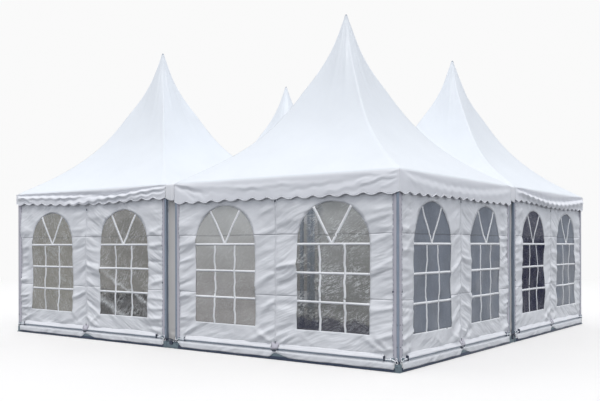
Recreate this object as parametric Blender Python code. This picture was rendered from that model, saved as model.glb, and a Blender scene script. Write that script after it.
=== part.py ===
"""Linked pagoda marquee: four square modules, two by two, with one shared room.

Metres, +Z up, origin on the ground at the middle of the plan. The long wall in
front faces -Y and the wall on the right faces +X. One module and one side are
drawn, and the other three of each are the same shapes turned by a quarter.
"""

import math

import bmesh
import bpy
from mathutils import Matrix, Vector

# Whole marquee
MODULE_SIDE = 4.0
GUTTER_WIDTH = 0.2
HALF = MODULE_SIDE + GUTTER_WIDTH / 2
NEAR = GUTTER_WIDTH / 2
MODULE_CENTRE = (NEAR + HALF) / 2
EAVE_TOP = 2.65
PEAK = 5.457
CLEAR = 0.0003
WELD = 0.001

# Posts, feet and ground rails
POST = 0.06
POST_INSET = 0.02
FOOT = 0.1
FOOT_HEIGHT = 0.11
PLATE_THICK = 0.012
CLAMP_THICK = 0.008
CLAMP_HEIGHT = 0.06
CLAMP_LEVELS = (0.4, 2.2)
RAIL_HEIGHT = 0.05
RAIL_DEPTH = 0.05
RAIL_INSET = 0.005
HEM_BAR_RADIUS = 0.0145
HEM_BAR_LEVEL = 0.165
HEM_BAR_SIDES = 8
LUG_WIDTH = 0.02
LUG_OFFSET = 0.065

# Eave ring
RING_WIDTH = 0.06
RING_LOW = 2.58
RING_TOP = 2.64

# Walls and windows
WALL_THICK = 0.008
WALL_INSET = 0.03
WALL_TOP = 2.63
SKIRT_NOTCH = 0.05
FILM_THICK = 0.005
WINDOW_WIDTH = 1.18
WINDOW_SILL = 0.465
WINDOW_SPRING = 1.675
ARCH_STEPS = 12

# Roof skin and valance
SKIN_THICK = 0.01
STRAIGHT_PART = 0.45
CURVE_POWER = 3.4
SIDE_HOLLOW = 0.05
ROOF_STEPS = (0.0, 0.15, 0.3, 0.45, 0.58, 0.7, 0.8, 0.88, 0.94, 0.98)
ROOF_SIDE_STEPS = 4
VALANCE_THICK = 0.008
VALANCE_BEVEL = 0.004
VALANCE_LOW = 2.325
SCALLOPS = 15
SCALLOP_STEPS = 4
SCALLOP_DEPTH = 0.018

# Mast and stays
MAST_RADIUS = 0.035
MAST_SIDES = 10
MAST_FOOT = 2.4
MAST_SHOULDER = 5.12
SPIGOT_RADIUS = 0.022
CAP_RADIUS = 0.052
CAP_TIP_RADIUS = 0.012
FOOT_BLOCK = 0.09
STAY_RADIUS = 0.006
STAY_SIDES = 6
STAY_EYE = 0.04
STAY_LEVEL = 2.61

# Gutter and closing strips
GUTTER_SKIN = 0.008
GUTTER_LOW = 2.5
GUTTER_TOP = 2.645
GUTTER_END_INSET = 0.002
FLAP_HALF_WIDTH = 0.085
FLAP_LOW = 2.38
STRIP_RECESS = 0.061
STRIP_LOW = FOOT_HEIGHT + CLEAR

QUARTERS = ("front_right", "back_right", "back_left", "front_left")
SIDES = ("front", "right", "back", "left")


def clear_scene():
    for thing in list(bpy.data.objects):
        bpy.data.objects.remove(thing, do_unlink=True)


def material(name, colour, roughness, metallic=0.0):
    made = bpy.data.materials.new(name)
    made.use_nodes = True
    shader = made.node_tree.nodes["Principled BSDF"]
    shader.inputs["Base Color"].default_value = (*colour, 1.0)
    shader.inputs["Roughness"].default_value = roughness
    shader.inputs["Metallic"].default_value = metallic
    return made


def mesh_of(name, build):
    """A closed mesh filled in by build(bm), with its faces pointing out."""
    bm = bmesh.new()
    build(bm)
    bmesh.ops.recalc_face_normals(bm, faces=bm.faces)
    mesh = bpy.data.meshes.new(name)
    bm.to_mesh(mesh)
    bm.free()
    return mesh


def place(name, mesh, colour, quarter=0):
    """Puts a mesh in the scene, turned about the middle by so many quarters."""
    thing = bpy.data.objects.new(name, mesh)
    thing.rotation_euler = (0.0, 0.0, quarter * math.pi / 2)
    thing.data = mesh
    if not mesh.materials:
        mesh.materials.append(colour)
    bpy.context.scene.collection.objects.link(thing)
    return thing


def welded_mesh(name, meshes):
    """The union of several closed meshes as one closed mesh."""
    helpers = [bpy.data.objects.new(f"{name}_{number}", mesh) for number, mesh in enumerate(meshes)]
    first = helpers[0]
    for helper in helpers:
        bpy.context.scene.collection.objects.link(helper)
    for helper in helpers[1:]:
        helper.hide_render = True
        helper.display_type = "WIRE"
        cut = first.modifiers.new("weld", "BOOLEAN")
        cut.operation = "UNION"
        cut.solver = "EXACT"
        cut.object = helper
    bpy.context.view_layer.update()
    graph = bpy.context.evaluated_depsgraph_get()
    mesh = bpy.data.meshes.new_from_object(first.evaluated_get(graph))
    mesh.name = name
    for helper in helpers:
        bpy.data.objects.remove(helper, do_unlink=True)
    return mesh


def add_box(bm, low, high):
    size = Vector(high) - Vector(low)
    middle = (Vector(high) + Vector(low)) / 2
    matrix = Matrix.Translation(middle) @ Matrix.Diagonal((*size, 1.0))
    bmesh.ops.create_cube(bm, size=1.0, matrix=matrix)


def box_mesh(name, low, high):
    return mesh_of(name, lambda bm: add_box(bm, low, high))


def frustum_mesh(name, start, end, radius_start, radius_end, sides):
    """A round or tapered bar between two points."""

    def build(bm):
        along = Vector(end) - Vector(start)
        turn = along.to_track_quat("Z", "Y").to_matrix().to_4x4()
        matrix = Matrix.Translation((Vector(start) + Vector(end)) / 2) @ turn
        bmesh.ops.create_cone(
            bm, cap_ends=True, segments=sides, radius1=radius_start,
            radius2=radius_end, depth=along.length, matrix=matrix,
        )

    return mesh_of(name, build)


def octagon_mesh(name, middle, half, low, high):
    """An upright eight-sided block with flat sides along X, Y and the diagonals."""

    def build(bm):
        turn = Matrix.Rotation(math.pi / 8, 4, "Z")
        place_at = Matrix.Translation((*middle, (low + high) / 2))
        radius = half / math.cos(math.pi / 8)
        bmesh.ops.create_cone(
            bm, cap_ends=True, segments=8, radius1=radius, radius2=radius,
            depth=high - low, matrix=place_at @ turn,
        )

    return mesh_of(name, build)


def plate_mesh(name, rings, y_outer, y_inner):
    """An upright plate from closed (x, z) outlines: the first is its edge, the rest are holes."""

    def build(bm):
        edges = []
        for ring in rings:
            points = [bm.verts.new((x, y_outer, z)) for x, z in ring]
            for index, point in enumerate(points):
                edges.append(bm.edges.new((point, points[(index + 1) % len(points)])))
        face_set = bmesh.ops.triangle_fill(bm, use_beauty=True, use_dissolve=False, edges=edges)
        faces = [item for item in face_set["geom"] if isinstance(item, bmesh.types.BMFace)]
        grown = bmesh.ops.extrude_face_region(bm, geom=faces)
        moved = [item for item in grown["geom"] if isinstance(item, bmesh.types.BMVert)]
        bmesh.ops.translate(bm, verts=moved, vec=(0.0, y_inner - y_outer, 0.0))

    return mesh_of(name, build)


def quadrant_boxes(low, high):
    """The same upright box in each quarter of the plan, as (low, high) corners."""
    for x_side in (1, -1):
        for y_side in (1, -1):
            xs = sorted((x_side * low[0], x_side * high[0]))
            ys = sorted((y_side * low[1], y_side * high[1]))
            yield (xs[0], ys[0], low[2]), (xs[1], ys[1], high[2])


def corner_post_mesh():
    outer = HALF - POST_INSET
    inner = outer - POST
    return box_mesh(
        "corner_post",
        (inner, -outer, FOOT_HEIGHT + CLEAR),
        (outer, -inner, RING_LOW - CLEAR),
    )


def post_pair_mesh():
    """Two posts side by side at the junction of two modules, held by clamps behind them."""
    outer = HALF - POST_INSET
    parts = []
    for low_x, high_x in ((-NEAR - POST, -NEAR), (NEAR, NEAR + POST)):
        parts.append(
            box_mesh(
                "junction_post",
                (low_x, -outer, FOOT_HEIGHT + CLEAR),
                (high_x, POST - outer, RING_LOW - CLEAR),
            )
        )
    back = POST - outer
    for level in CLAMP_LEVELS:
        parts.append(
            box_mesh(
                "clamp",
                (-NEAR - POST + WELD, back - WELD, level),
                (NEAR + POST - WELD, back + CLAMP_THICK, level + CLAMP_HEIGHT),
            )
        )
    return welded_mesh("post_pair", parts)


def centre_posts_mesh():
    """The four posts in the middle of the room on one foot plate."""
    foot_grow = (FOOT - POST) / 2
    reach = NEAR + POST + foot_grow
    parts = [box_mesh("plate", (-reach, -reach, 0.0), (reach, reach, PLATE_THICK))]
    low = (NEAR - foot_grow, NEAR - foot_grow, PLATE_THICK - WELD)
    high = (reach - WELD, reach - WELD, FOOT_HEIGHT)
    parts += [box_mesh("socket", *pair) for pair in quadrant_boxes(low, high)]
    low = (NEAR, NEAR, FOOT_HEIGHT - WELD)
    high = (NEAR + POST, NEAR + POST, RING_LOW - CLEAR)
    parts += [box_mesh("post", *pair) for pair in quadrant_boxes(low, high)]
    return welded_mesh("centre_posts", parts)


def ground_frame_mesh():
    """Ground rails and hem bars of a module's two outer sides, with the three feet that carry them."""
    foot_grow = (FOOT - POST) / 2
    near_foot = NEAR - foot_grow
    far_foot = HALF - FOOT
    rail_outer = HALF - RAIL_INSET
    rail_inner = rail_outer - RAIL_DEPTH
    bar_line = HALF - HEM_BAR_RADIUS - WELD / 2
    wall_face = HALF - WALL_INSET
    parts = [
        box_mesh("foot", (far_foot, -HALF, 0.0), (HALF, -far_foot, FOOT_HEIGHT)),
        box_mesh("foot", (near_foot, -HALF, 0.0), (near_foot + FOOT, -far_foot, FOOT_HEIGHT)),
        box_mesh("foot", (far_foot, -near_foot - FOOT, 0.0), (HALF, -near_foot, FOOT_HEIGHT)),
    ]
    start = near_foot + FOOT - WELD
    stop = far_foot + WELD
    parts.append(box_mesh("rail", (start, -rail_outer, 0.0), (stop, -rail_inner, RAIL_HEIGHT)))
    parts.append(box_mesh("rail", (rail_inner, -stop, 0.0), (rail_outer, -start, RAIL_HEIGHT)))
    lug_starts = (NEAR + POST + LUG_OFFSET, HALF - POST_INSET - POST - LUG_OFFSET - LUG_WIDTH)
    lug_face = wall_face + CLEAR * 4
    lug_top = HEM_BAR_LEVEL + HEM_BAR_RADIUS / 2
    for along in lug_starts:
        low_z = RAIL_HEIGHT - WELD
        parts.append(
            box_mesh("lug", (along, -rail_outer + WELD, low_z), (along + LUG_WIDTH, -lug_face, lug_top))
        )
        parts.append(
            box_mesh("lug", (lug_face, -along - LUG_WIDTH, low_z), (rail_outer - WELD, -along, lug_top))
        )
    bar_start = lug_starts[0] + WELD
    bar_stop = lug_starts[1] + LUG_WIDTH - WELD
    for first, last in (
        ((bar_start, -bar_line), (bar_stop, -bar_line)),
        ((bar_line, -bar_stop), (bar_line, -bar_start)),
    ):
        parts.append(
            frustum_mesh(
                "hem_bar", (*first, HEM_BAR_LEVEL), (*last, HEM_BAR_LEVEL),
                HEM_BAR_RADIUS, HEM_BAR_RADIUS, HEM_BAR_SIDES,
            )
        )
    return welded_mesh("ground_frame", parts)


def ring_mesh():
    """The square ring of rail that joins a module's four post heads."""
    outer_line = HALF - WALL_INSET - WALL_THICK - CLEAR
    inner_line = outer_line - RING_WIDTH

    def build(bm):
        loops = []
        for near, far in ((NEAR, outer_line), (NEAR + RING_WIDTH, inner_line)):
            corners = ((near, -far), (far, -far), (far, -near), (near, -near))
            for level in (RING_LOW, RING_TOP):
                loops.append([bm.verts.new((x, y, level)) for x, y in corners])
        outer_low, outer_high, inner_low, inner_high = loops
        for one, other in (
            (outer_low, outer_high), (outer_high, inner_high),
            (inner_high, inner_low), (inner_low, outer_low),
        ):
            for index in range(4):
                after = (index + 1) % 4
                bm.faces.new((one[index], one[after], other[after], other[index]))

    return mesh_of("eave_ring", build)


def roof_level(part):
    """Height of the skin at a part of the way from the eave (0) to the peak (1)."""
    rise = STRAIGHT_PART * part + (1 - STRAIGHT_PART) * part**CURVE_POWER
    return EAVE_TOP + (PEAK - EAVE_TOP) * rise


def roof_slope(part):
    """Rise of the skin for each metre inwards."""
    curve = (1 - STRAIGHT_PART) * CURVE_POWER * part ** (CURVE_POWER - 1)
    return (PEAK - EAVE_TOP) * (STRAIGHT_PART + curve) / (MODULE_SIDE / 2)


def roof_ring(half, level, hollow):
    """Points around the square section of the roof, its sides drawn in towards the middle."""
    points = []
    for side in range(4):
        turn = Matrix.Rotation(side * math.pi / 2, 3, "Z")
        for step in range(ROOF_SIDE_STEPS):
            along = 2 * step / ROOF_SIDE_STEPS - 1
            out = half * (1 - hollow * (1 - along * along))
            point = turn @ Vector((along * half, -out, 0.0))
            points.append((MODULE_CENTRE + point.x, point.y - MODULE_CENTRE, level))
    return points


def roof_shell_mesh():
    reach = MODULE_SIDE / 2 - VALANCE_THICK / 2
    outer_rings = []
    inner_rings = []
    for part in ROOF_STEPS:
        slope = roof_slope(part)
        half = reach * (1 - part)
        tilt = math.atan(slope)
        hollow = SIDE_HOLLOW * math.sin(math.pi * part)
        level = roof_level(part)
        outer_rings.append(roof_ring(half, level, hollow))
        inner_half = half - SKIN_THICK * math.sin(tilt)
        inner_rings.append(roof_ring(inner_half, level - SKIN_THICK * math.cos(tilt), hollow))

    def build(bm):
        loops = [[bm.verts.new(p) for p in ring] for ring in outer_rings + inner_rings[::-1]]
        count = len(loops[0])
        for one, other in zip(loops, loops[1:] + loops[:1]):
            for index in range(count):
                after = (index + 1) % count
                bm.faces.new((one[index], one[after], other[after], other[index]))

    return mesh_of("roof_shell", build)


def valance_columns():
    """Along the front eave, round the corner and along the right eave: outer point, inner point and hem height."""
    count = SCALLOPS * SCALLOP_STEPS
    inner = HALF - VALANCE_THICK
    hems = []
    for step in range(count + 1):
        wave = math.cos(2 * math.pi * step / SCALLOP_STEPS)
        hems.append((NEAR + MODULE_SIDE * step / count, VALANCE_LOW + SCALLOP_DEPTH * wave))
    corner = hems[-1][1]
    columns = [((along, -HALF), (along, -inner), hem) for along, hem in hems[:-1]]
    columns.append(((HALF - VALANCE_BEVEL, -HALF), (inner - VALANCE_BEVEL, -inner), corner))
    columns.append(((HALF, VALANCE_BEVEL - HALF), (inner, VALANCE_BEVEL - inner), corner))
    columns += [((HALF, -along), (inner, -along), hem) for along, hem in reversed(hems[:-1])]
    return columns


def valance_mesh():
    top = EAVE_TOP - 2 * WELD

    def build(bm):
        sections = []
        for outer, inner, hem in valance_columns():
            corners = ((*outer, top), (*outer, hem), (*inner, hem), (*inner, top))
            sections.append([bm.verts.new(corner) for corner in corners])
        for one, other in zip(sections, sections[1:]):
            for index in range(4):
                after = (index + 1) % 4
                bm.faces.new((one[index], one[after], other[after], other[index]))
        bm.faces.new(sections[0])
        bm.faces.new(sections[-1])

    return mesh_of("valance", build)


def roof_mesh():
    """Roof skin with the valance that hangs on its two outer eaves."""
    return welded_mesh("roof", [roof_shell_mesh(), valance_mesh()])


def mast_mesh():
    """Mast with its foot block, cap and the four taut stays that hold it up."""
    middle = (MODULE_CENTRE, -MODULE_CENTRE)
    rim = roof_level(ROOF_STEPS[-1]) + CLEAR
    block_top = MAST_FOOT + FOOT_BLOCK
    block_half = FOOT_BLOCK / 2
    eye_half = STAY_EYE / 2
    parts = [
        frustum_mesh(
            "mast", (*middle, block_top - WELD), (*middle, MAST_SHOULDER),
            MAST_RADIUS, MAST_RADIUS, MAST_SIDES,
        ),
        octagon_mesh("foot_block", middle, block_half, MAST_FOOT, block_top),
        frustum_mesh(
            "spigot", (*middle, MAST_SHOULDER - WELD), (*middle, rim + WELD),
            SPIGOT_RADIUS, SPIGOT_RADIUS, MAST_SIDES,
        ),
        frustum_mesh("cap", (*middle, rim), (*middle, PEAK), CAP_RADIUS, CAP_TIP_RADIUS, MAST_SIDES),
    ]
    near = NEAR + RING_WIDTH + CLEAR + eye_half
    far = HALF - WALL_INSET - WALL_THICK - RING_WIDTH - 2 * CLEAR - eye_half
    hub = Vector((*middle, MAST_FOOT + block_half))
    for x in (near, far):
        for y in (-near, -far):
            end = Vector((x, y, STAY_LEVEL))
            start = hub + (end - hub).normalized() * block_half / 2
            parts.append(
                octagon_mesh("stay_eye", (x, y), eye_half, STAY_LEVEL - eye_half, STAY_LEVEL + eye_half)
            )
            parts.append(frustum_mesh("stay", start, end, STAY_RADIUS, STAY_RADIUS, STAY_SIDES))
    return welded_mesh("mast", parts)


def cross_outline(half_width, reach):
    """Corners of a cross in plan, counter-clockwise."""
    arm = [(half_width, -half_width), (half_width, -reach), (-half_width, -reach)]
    points = []
    for side in range(4):
        turn = Matrix.Rotation(-side * math.pi / 2, 2)
        points += [tuple(turn @ Vector(point)) for point in arm]
    return points


def gutter_mesh():
    """Open gutter between the modules, with an end flap and a closing strip at each outer end."""
    half_width = NEAR - CLEAR
    reach = HALF - GUTTER_END_INSET
    outer = cross_outline(half_width, reach)
    inner = cross_outline(half_width - GUTTER_SKIN, reach - GUTTER_SKIN)
    floor = GUTTER_LOW + GUTTER_SKIN

    def build(bm):
        loops = []
        for outline, level in (
            (outer, GUTTER_LOW), (outer, GUTTER_TOP), (inner, GUTTER_TOP), (inner, floor),
        ):
            loops.append([bm.verts.new((x, y, level)) for x, y in outline])
        count = len(outer)
        for one, other in zip(loops, loops[1:]):
            for index in range(count):
                after = (index + 1) % count
                bm.faces.new((one[index], one[after], other[after], other[index]))
        bm.faces.new(loops[0])
        bm.faces.new(loops[-1])

    parts = [mesh_of("trough", build)]
    strip_outer = HALF - STRIP_RECESS
    flap_outer = reach - WELD
    for side in range(4):
        turn = Matrix.Rotation(side * math.pi / 2, 4, "Z")
        strip = box_mesh(
            "closing_strip",
            (-half_width + WELD, -strip_outer, STRIP_LOW),
            (half_width - WELD, -strip_outer + GUTTER_SKIN, GUTTER_LOW + WELD),
        )
        flap = box_mesh(
            "end_flap",
            (-FLAP_HALF_WIDTH, -flap_outer, FLAP_LOW),
            (FLAP_HALF_WIDTH, -flap_outer + GUTTER_SKIN, GUTTER_LOW + WELD),
        )
        for mesh in (strip, flap):
            mesh.transform(turn)
            parts.append(mesh)
    return welded_mesh("gutter", parts)


def arch_outline(middle, shrink=0.0):
    """Round-headed window outline in (x, z), drawn in all round by shrink."""
    radius = WINDOW_WIDTH / 2 - shrink
    points = [(middle - radius, WINDOW_SILL + shrink), (middle + radius, WINDOW_SILL + shrink)]
    for step in range(ARCH_STEPS + 1):
        angle = math.pi * step / ARCH_STEPS
        points.append((middle + radius * math.cos(angle), WINDOW_SPRING + radius * math.sin(angle)))
    return points


def panel_spans():
    """Start and end of a side's four wall panels from left to right, seen from outside."""
    near = NEAR + POST
    far = HALF - POST_INSET - POST
    zip_line = (near + far) / 2
    return ((-far, -zip_line), (-zip_line, -near), (near, zip_line), (zip_line, far))


def wall_outline(start, end):
    """Panel edge in (x, z), with the lower corner beside a foot cut away."""
    notch_top = FOOT_HEIGHT + 2 * CLEAR
    low = RAIL_HEIGHT + CLEAR
    far = HALF - POST_INSET - POST
    posts = (-far, -NEAR - POST, NEAR + POST, far)
    left = start + CLEAR
    right = end - CLEAR
    points = []
    if start in posts:
        points += [(left, notch_top), (left + SKIRT_NOTCH, notch_top), (left + SKIRT_NOTCH, low)]
    else:
        points.append((left, low))
    if end in posts:
        points += [(right - SKIRT_NOTCH, low), (right - SKIRT_NOTCH, notch_top), (right, notch_top)]
    else:
        points.append((right, low))
    return points + [(right, WALL_TOP), (left, WALL_TOP)]


def wall_mesh(start, end):
    outer = -(HALF - WALL_INSET)
    rings = [wall_outline(start, end), arch_outline((start + end) / 2)]
    return plate_mesh("wall_panel", rings, outer, outer + WALL_THICK)


def window_mesh(start, end):
    outer = -(HALF - WALL_INSET) + (WALL_THICK - FILM_THICK) / 2
    rings = [arch_outline((start + end) / 2, CLEAR)]
    return plate_mesh("window_film", rings, outer, outer + FILM_THICK)


def build_frames(steel, rail_metal):
    post = corner_post_mesh()
    pair = post_pair_mesh()
    ground = ground_frame_mesh()
    ring = ring_mesh()
    mast = mast_mesh()
    for quarter, (corner, side) in enumerate(zip(QUARTERS, SIDES)):
        place(f"ground_frame_{corner}", ground, rail_metal, quarter)
        place(f"post_{corner}", post, steel, quarter)
        place(f"post_pair_{side}", pair, steel, quarter)
        place(f"eave_frame_{corner}", ring, steel, quarter)
        place(f"mast_{corner}", mast, steel, quarter)
    place("posts_centre", centre_posts_mesh(), steel)


def build_skins(roof_cloth, wall_cloth, film):
    roof = roof_mesh()
    for quarter, corner in enumerate(QUARTERS):
        place(f"roof_{corner}", roof, roof_cloth, quarter)
    place("gutter", gutter_mesh(), roof_cloth)
    for number, span in enumerate(panel_spans(), start=1):
        wall = wall_mesh(*span)
        window = window_mesh(*span)
        for quarter, side in enumerate(SIDES):
            place(f"wall_{side}_{number}", wall, wall_cloth, quarter)
            place(f"window_{side}_{number}", window, film, quarter)


def main():
    clear_scene()
    steel = material("galvanised_steel", (0.42, 0.46, 0.52), 0.45, 0.8)
    rail_metal = material("dark_rail", (0.16, 0.2, 0.28), 0.5, 0.7)
    roof_cloth = material("roof_cloth", (0.88, 0.9, 0.93), 0.45)
    wall_cloth = material("wall_cloth", (0.74, 0.75, 0.8), 0.55)
    film = material("window_film", (0.42, 0.42, 0.42), 0.2)
    build_frames(steel, rail_metal)
    build_skins(roof_cloth, wall_cloth, film)


main()
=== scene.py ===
"""Linked pagoda marquee: cloth, films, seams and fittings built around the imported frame.

Metres, +Z up. Side 0 is the front (-Y), and each next side is a quarter turn on,
counter-clockwise seen from above. Along a wall, u runs from left to right as seen
from outside, with u = 0 at the junction of the two modules.
"""

import math
import random

import bmesh
import bpy
import numpy as np
from mathutils import Matrix, Vector


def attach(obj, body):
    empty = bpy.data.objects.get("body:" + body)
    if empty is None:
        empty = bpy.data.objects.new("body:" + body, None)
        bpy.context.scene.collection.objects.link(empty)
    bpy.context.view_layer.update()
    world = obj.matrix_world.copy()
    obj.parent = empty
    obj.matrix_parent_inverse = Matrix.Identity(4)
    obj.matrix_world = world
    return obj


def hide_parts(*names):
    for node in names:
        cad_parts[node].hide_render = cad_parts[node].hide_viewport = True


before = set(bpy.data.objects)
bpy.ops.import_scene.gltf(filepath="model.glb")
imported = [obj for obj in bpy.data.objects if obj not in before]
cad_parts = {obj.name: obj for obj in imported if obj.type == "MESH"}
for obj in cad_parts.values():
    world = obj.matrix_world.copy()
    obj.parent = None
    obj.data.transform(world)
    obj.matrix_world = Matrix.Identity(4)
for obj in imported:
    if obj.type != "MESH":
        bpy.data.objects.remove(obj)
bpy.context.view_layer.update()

bl_info = {
    "name": "Linked pagoda marquee",
    "version": (1, 0, 0),
    "blender": (4, 5, 0),
    "location": "3D View > Sidebar > Marquee",
    "description": "Builds the cloth, windows, seams and fittings of a two by two pagoda marquee",
    "category": "Add Mesh",
}

QUARTERS = ("front_right", "back_right", "back_left", "front_left")
SIDES = ("front", "right", "back", "left")
QUARTER_TURNS = ((1, 0), (0, 1), (-1, 0), (0, -1))

# Sizes shared with the frame
HALF = 4.1
NEAR = 0.1
MODULE_SIDE = 4.0
MODULE_CENTRE = 2.1
POST = 0.06
POST_FACE = 4.08
POST_INNER = 4.02
FOOT_TOP = 0.11
RAIL_TOP = 0.05
EAVE_TOP = 2.65
PEAK = 5.457
CANOPY_HALF = 1.996
WALL_FACE = 4.07
WALL_TOP = 2.63
SKIRT_LOW = 0.036
NOTCH = 0.01
NOTCH_TOP = 0.1112
SPAN = POST_INNER - NEAR - POST
ZIP_AT = SPAN / 2
WINDOW_RADIUS = 0.59
WINDOW_SILL = 0.465
WINDOW_SPRING = 1.675
HEM_LEVEL = 0.165
HEM_START = 0.16
HEM_END = 0.062
VALANCE_LOW = 2.34
VALANCE_DEPTH = 0.33
SCALLOPS = 15
GUTTER_HALF = 0.0985
GUTTER_FLOOR = 2.503
GUTTER_LIP = 2.643
CAP_BASE = 5.331

# Heights of the creases that the walls and films have from being folded up
CREASES = (1.81, 0.93)

# Camera of the photograph
LENS = 47.38
CAMERA_PLACE = (8.8762, -13.3436, 1.6533)
CAMERA_YAW = -0.6765
CAMERA_ROLL = -0.0018
CAMERA_SHIFT = (0.1, 0.0754)


# Small helpers

def smooth(low, high, value):
    """0 up to low and 1 from high on, eased in between."""
    part = np.clip((value - low) / (high - low), 0.0, 1.0)
    return part * part * (3 - 2 * part)


def turned(points, quarter):
    """Points of the front side turned about the middle by so many quarters."""
    cos, sin = QUARTER_TURNS[quarter % 4]
    points = np.asarray(points, dtype=float)
    made = points.copy()
    made[:, 0] = cos * points[:, 0] - sin * points[:, 1]
    made[:, 1] = sin * points[:, 0] + cos * points[:, 1]
    return made


def turned_point(point, quarter):
    return turned(np.array([point]), quarter)[0]


def facing_of(side):
    """The way that a side of the marquee faces."""
    return tuple(turned_point((0.0, -1.0, 0.0), side))


def left_post(half):
    """Where the wall of a side's left (0) or right (1) module starts, beside its left post."""
    return -POST_INNER if half == 0 else NEAR + POST


def module_sides():
    """Side, left (0) or right (1) module, and the name of that stretch of wall."""
    for side in range(4):
        for half in range(2):
            yield side, half, f"{SIDES[side]}_{'right' if half else 'left'}"


def piece(name, mesh, slot, *materials):
    """Links a finished mesh as a piece that rides on the one body."""
    thing = bpy.data.objects.new(name, mesh)
    bpy.context.scene.collection.objects.link(thing)
    for material in materials:
        mesh.materials.append(material)
    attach(thing, "root")
    return thing


def mesh_from(name, points, faces, uvs=None, smooth_faces=True):
    mesh = bpy.data.meshes.new(name)
    mesh.from_pydata([tuple(p) for p in points], [], faces)
    if uvs is not None:
        layer = mesh.uv_layers.new(name="UVMap")
        corners = np.empty(len(mesh.loops), dtype=np.int32)
        mesh.loops.foreach_get("vertex_index", corners)
        layer.uv.foreach_set("vector", np.asarray(uvs, dtype=np.float32)[corners].ravel())
    mesh.polygons.foreach_set("use_smooth", [smooth_faces] * len(mesh.polygons))
    mesh.update()
    return mesh


def plain_mesh(thing):
    """The evaluated shape of an object as a plain mesh, with its modifiers taken off."""
    bpy.context.view_layer.update()
    graph = bpy.context.evaluated_depsgraph_get()
    mesh = bpy.data.meshes.new_from_object(thing.evaluated_get(graph), depsgraph=graph)
    thing.modifiers.clear()
    old = thing.data
    thing.data = mesh
    bpy.data.meshes.remove(old)
    return mesh


def thickened(thing, thickness, inward=True):
    """Gives a surface its thickness, to the inside of where it lies or to the outside."""
    shell = thing.modifiers.new("thickness", "SOLIDIFY")
    shell.thickness = thickness
    shell.offset = -1.0 if inward else 1.0
    plain_mesh(thing)


def joined(name, parts):
    """One mesh from several (points, faces, uvs) patches."""
    points, faces, uvs = [], [], []
    for part_points, part_faces, part_uvs in parts:
        start = len(points)
        points.extend(map(tuple, part_points))
        uvs.extend(map(tuple, part_uvs))
        faces.extend([tuple(i + start for i in face) for face in part_faces])
    return mesh_from(name, points, faces, uvs)


def sheet_piece(name, patches, slot, finish, thickness, inward=True):
    """A piece of cloth or film from (points, faces, uvs) patches."""
    thing = piece(name, joined(name, patches), slot, finish)
    thickened(thing, thickness, inward)
    return thing


def grid_faces(rows, columns):
    faces = []
    for row in range(rows - 1):
        for column in range(columns - 1):
            first = row * columns + column
            faces.append((first, first + 1, first + columns + 1, first + columns))
    return faces


def tube(path, radius, sides=8, closed=False):
    """Round bar along a path, or a closed ring, as (points, faces)."""
    path = [Vector(p) for p in path]
    count = len(path)
    points, faces = [], []
    side_way = None
    for index, place in enumerate(path):
        after = path[(index + 1) % count] if closed or index + 1 < count else place
        before = path[index - 1] if closed or index else place
        along = (after - before).normalized()
        if side_way is None:
            side_way = along.orthogonal().normalized()
        side_way = (side_way - along * side_way.dot(along)).normalized()
        other = along.cross(side_way)
        for step in range(sides):
            angle = 2 * math.pi * step / sides
            points.append(place + radius * (math.cos(angle) * side_way + math.sin(angle) * other))
    rings = count if closed else count - 1
    for ring in range(rings):
        for step in range(sides):
            a = ring * sides + step
            b = ring * sides + (step + 1) % sides
            c = ((ring + 1) % count) * sides + (step + 1) % sides
            d = ((ring + 1) % count) * sides + step
            faces.append((a, b, c, d))
    if not closed:
        faces.append(tuple(range(sides))[::-1])
        faces.append(tuple((count - 1) * sides + step for step in range(sides)))
    return points, faces


def ring_angles(count):
    return np.linspace(0, 2 * math.pi, count + 1)[:-1]


def add_patch(bm, patch, quarter=0, index=0):
    """Adds a (points, faces) patch of the front side, turned by so many quarters."""
    points, faces = patch
    verts = [bm.verts.new(p) for p in turned(np.array([tuple(p) for p in points]), quarter)]
    for face in faces:
        made = bm.faces.new([verts[i] for i in face])
        made.smooth = True
        made.material_index = index


def add_block(bm, low, high, bevel, quarter, index=0):
    """Adds a block with rounded edges between two corners."""
    part = bmesh.new()
    size = Vector(high) - Vector(low)
    matrix = Matrix.Translation((Vector(high) + Vector(low)) / 2) @ Matrix.Diagonal((*size, 1.0))
    bmesh.ops.create_cube(part, size=1.0, matrix=matrix)
    bmesh.ops.bevel(part, geom=part.edges[:], offset=bevel, segments=2, affect="EDGES", profile=0.5)
    part.verts.index_update()
    points = [tuple(v.co) for v in part.verts]
    faces = [[v.index for v in f.verts] for f in part.faces]
    part.free()
    add_patch(bm, (points, faces), quarter, index)


def mesh_of(bm, name):
    """The finished mesh of a bmesh, which is freed."""
    bmesh.ops.recalc_face_normals(bm, faces=bm.faces)
    mesh = bpy.data.meshes.new(name)
    bm.to_mesh(mesh)
    bm.free()
    return mesh


# Folds of the cloth

class Fold:
    """A soft ridge or valley that runs out from a point of a sheet and dies away."""

    def __init__(self, start, angle, length, width, height, bend=0.0, sharp=False):
        self.start = start
        self.way = (math.cos(angle), math.sin(angle))
        self.length = length
        self.width = width
        self.height = height
        self.bend = bend
        self.sharp = sharp

    def at(self, x, z):
        along = (x - self.start[0]) * self.way[0] + (z - self.start[1]) * self.way[1]
        across = (z - self.start[1]) * self.way[0] - (x - self.start[0]) * self.way[1]
        part = along / self.length
        across = across - self.bend * along * np.clip(part, 0, 1)
        width = self.width * (0.55 + np.clip(part, 0, 1))
        ridge = np.exp(-np.abs(across) / width) if self.sharp else np.exp(-((across / width) ** 2))
        fade = smooth(-0.06, 0.1, along) * (1 - smooth(0.35, 1.0, part))
        return self.height * ridge * fade


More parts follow.
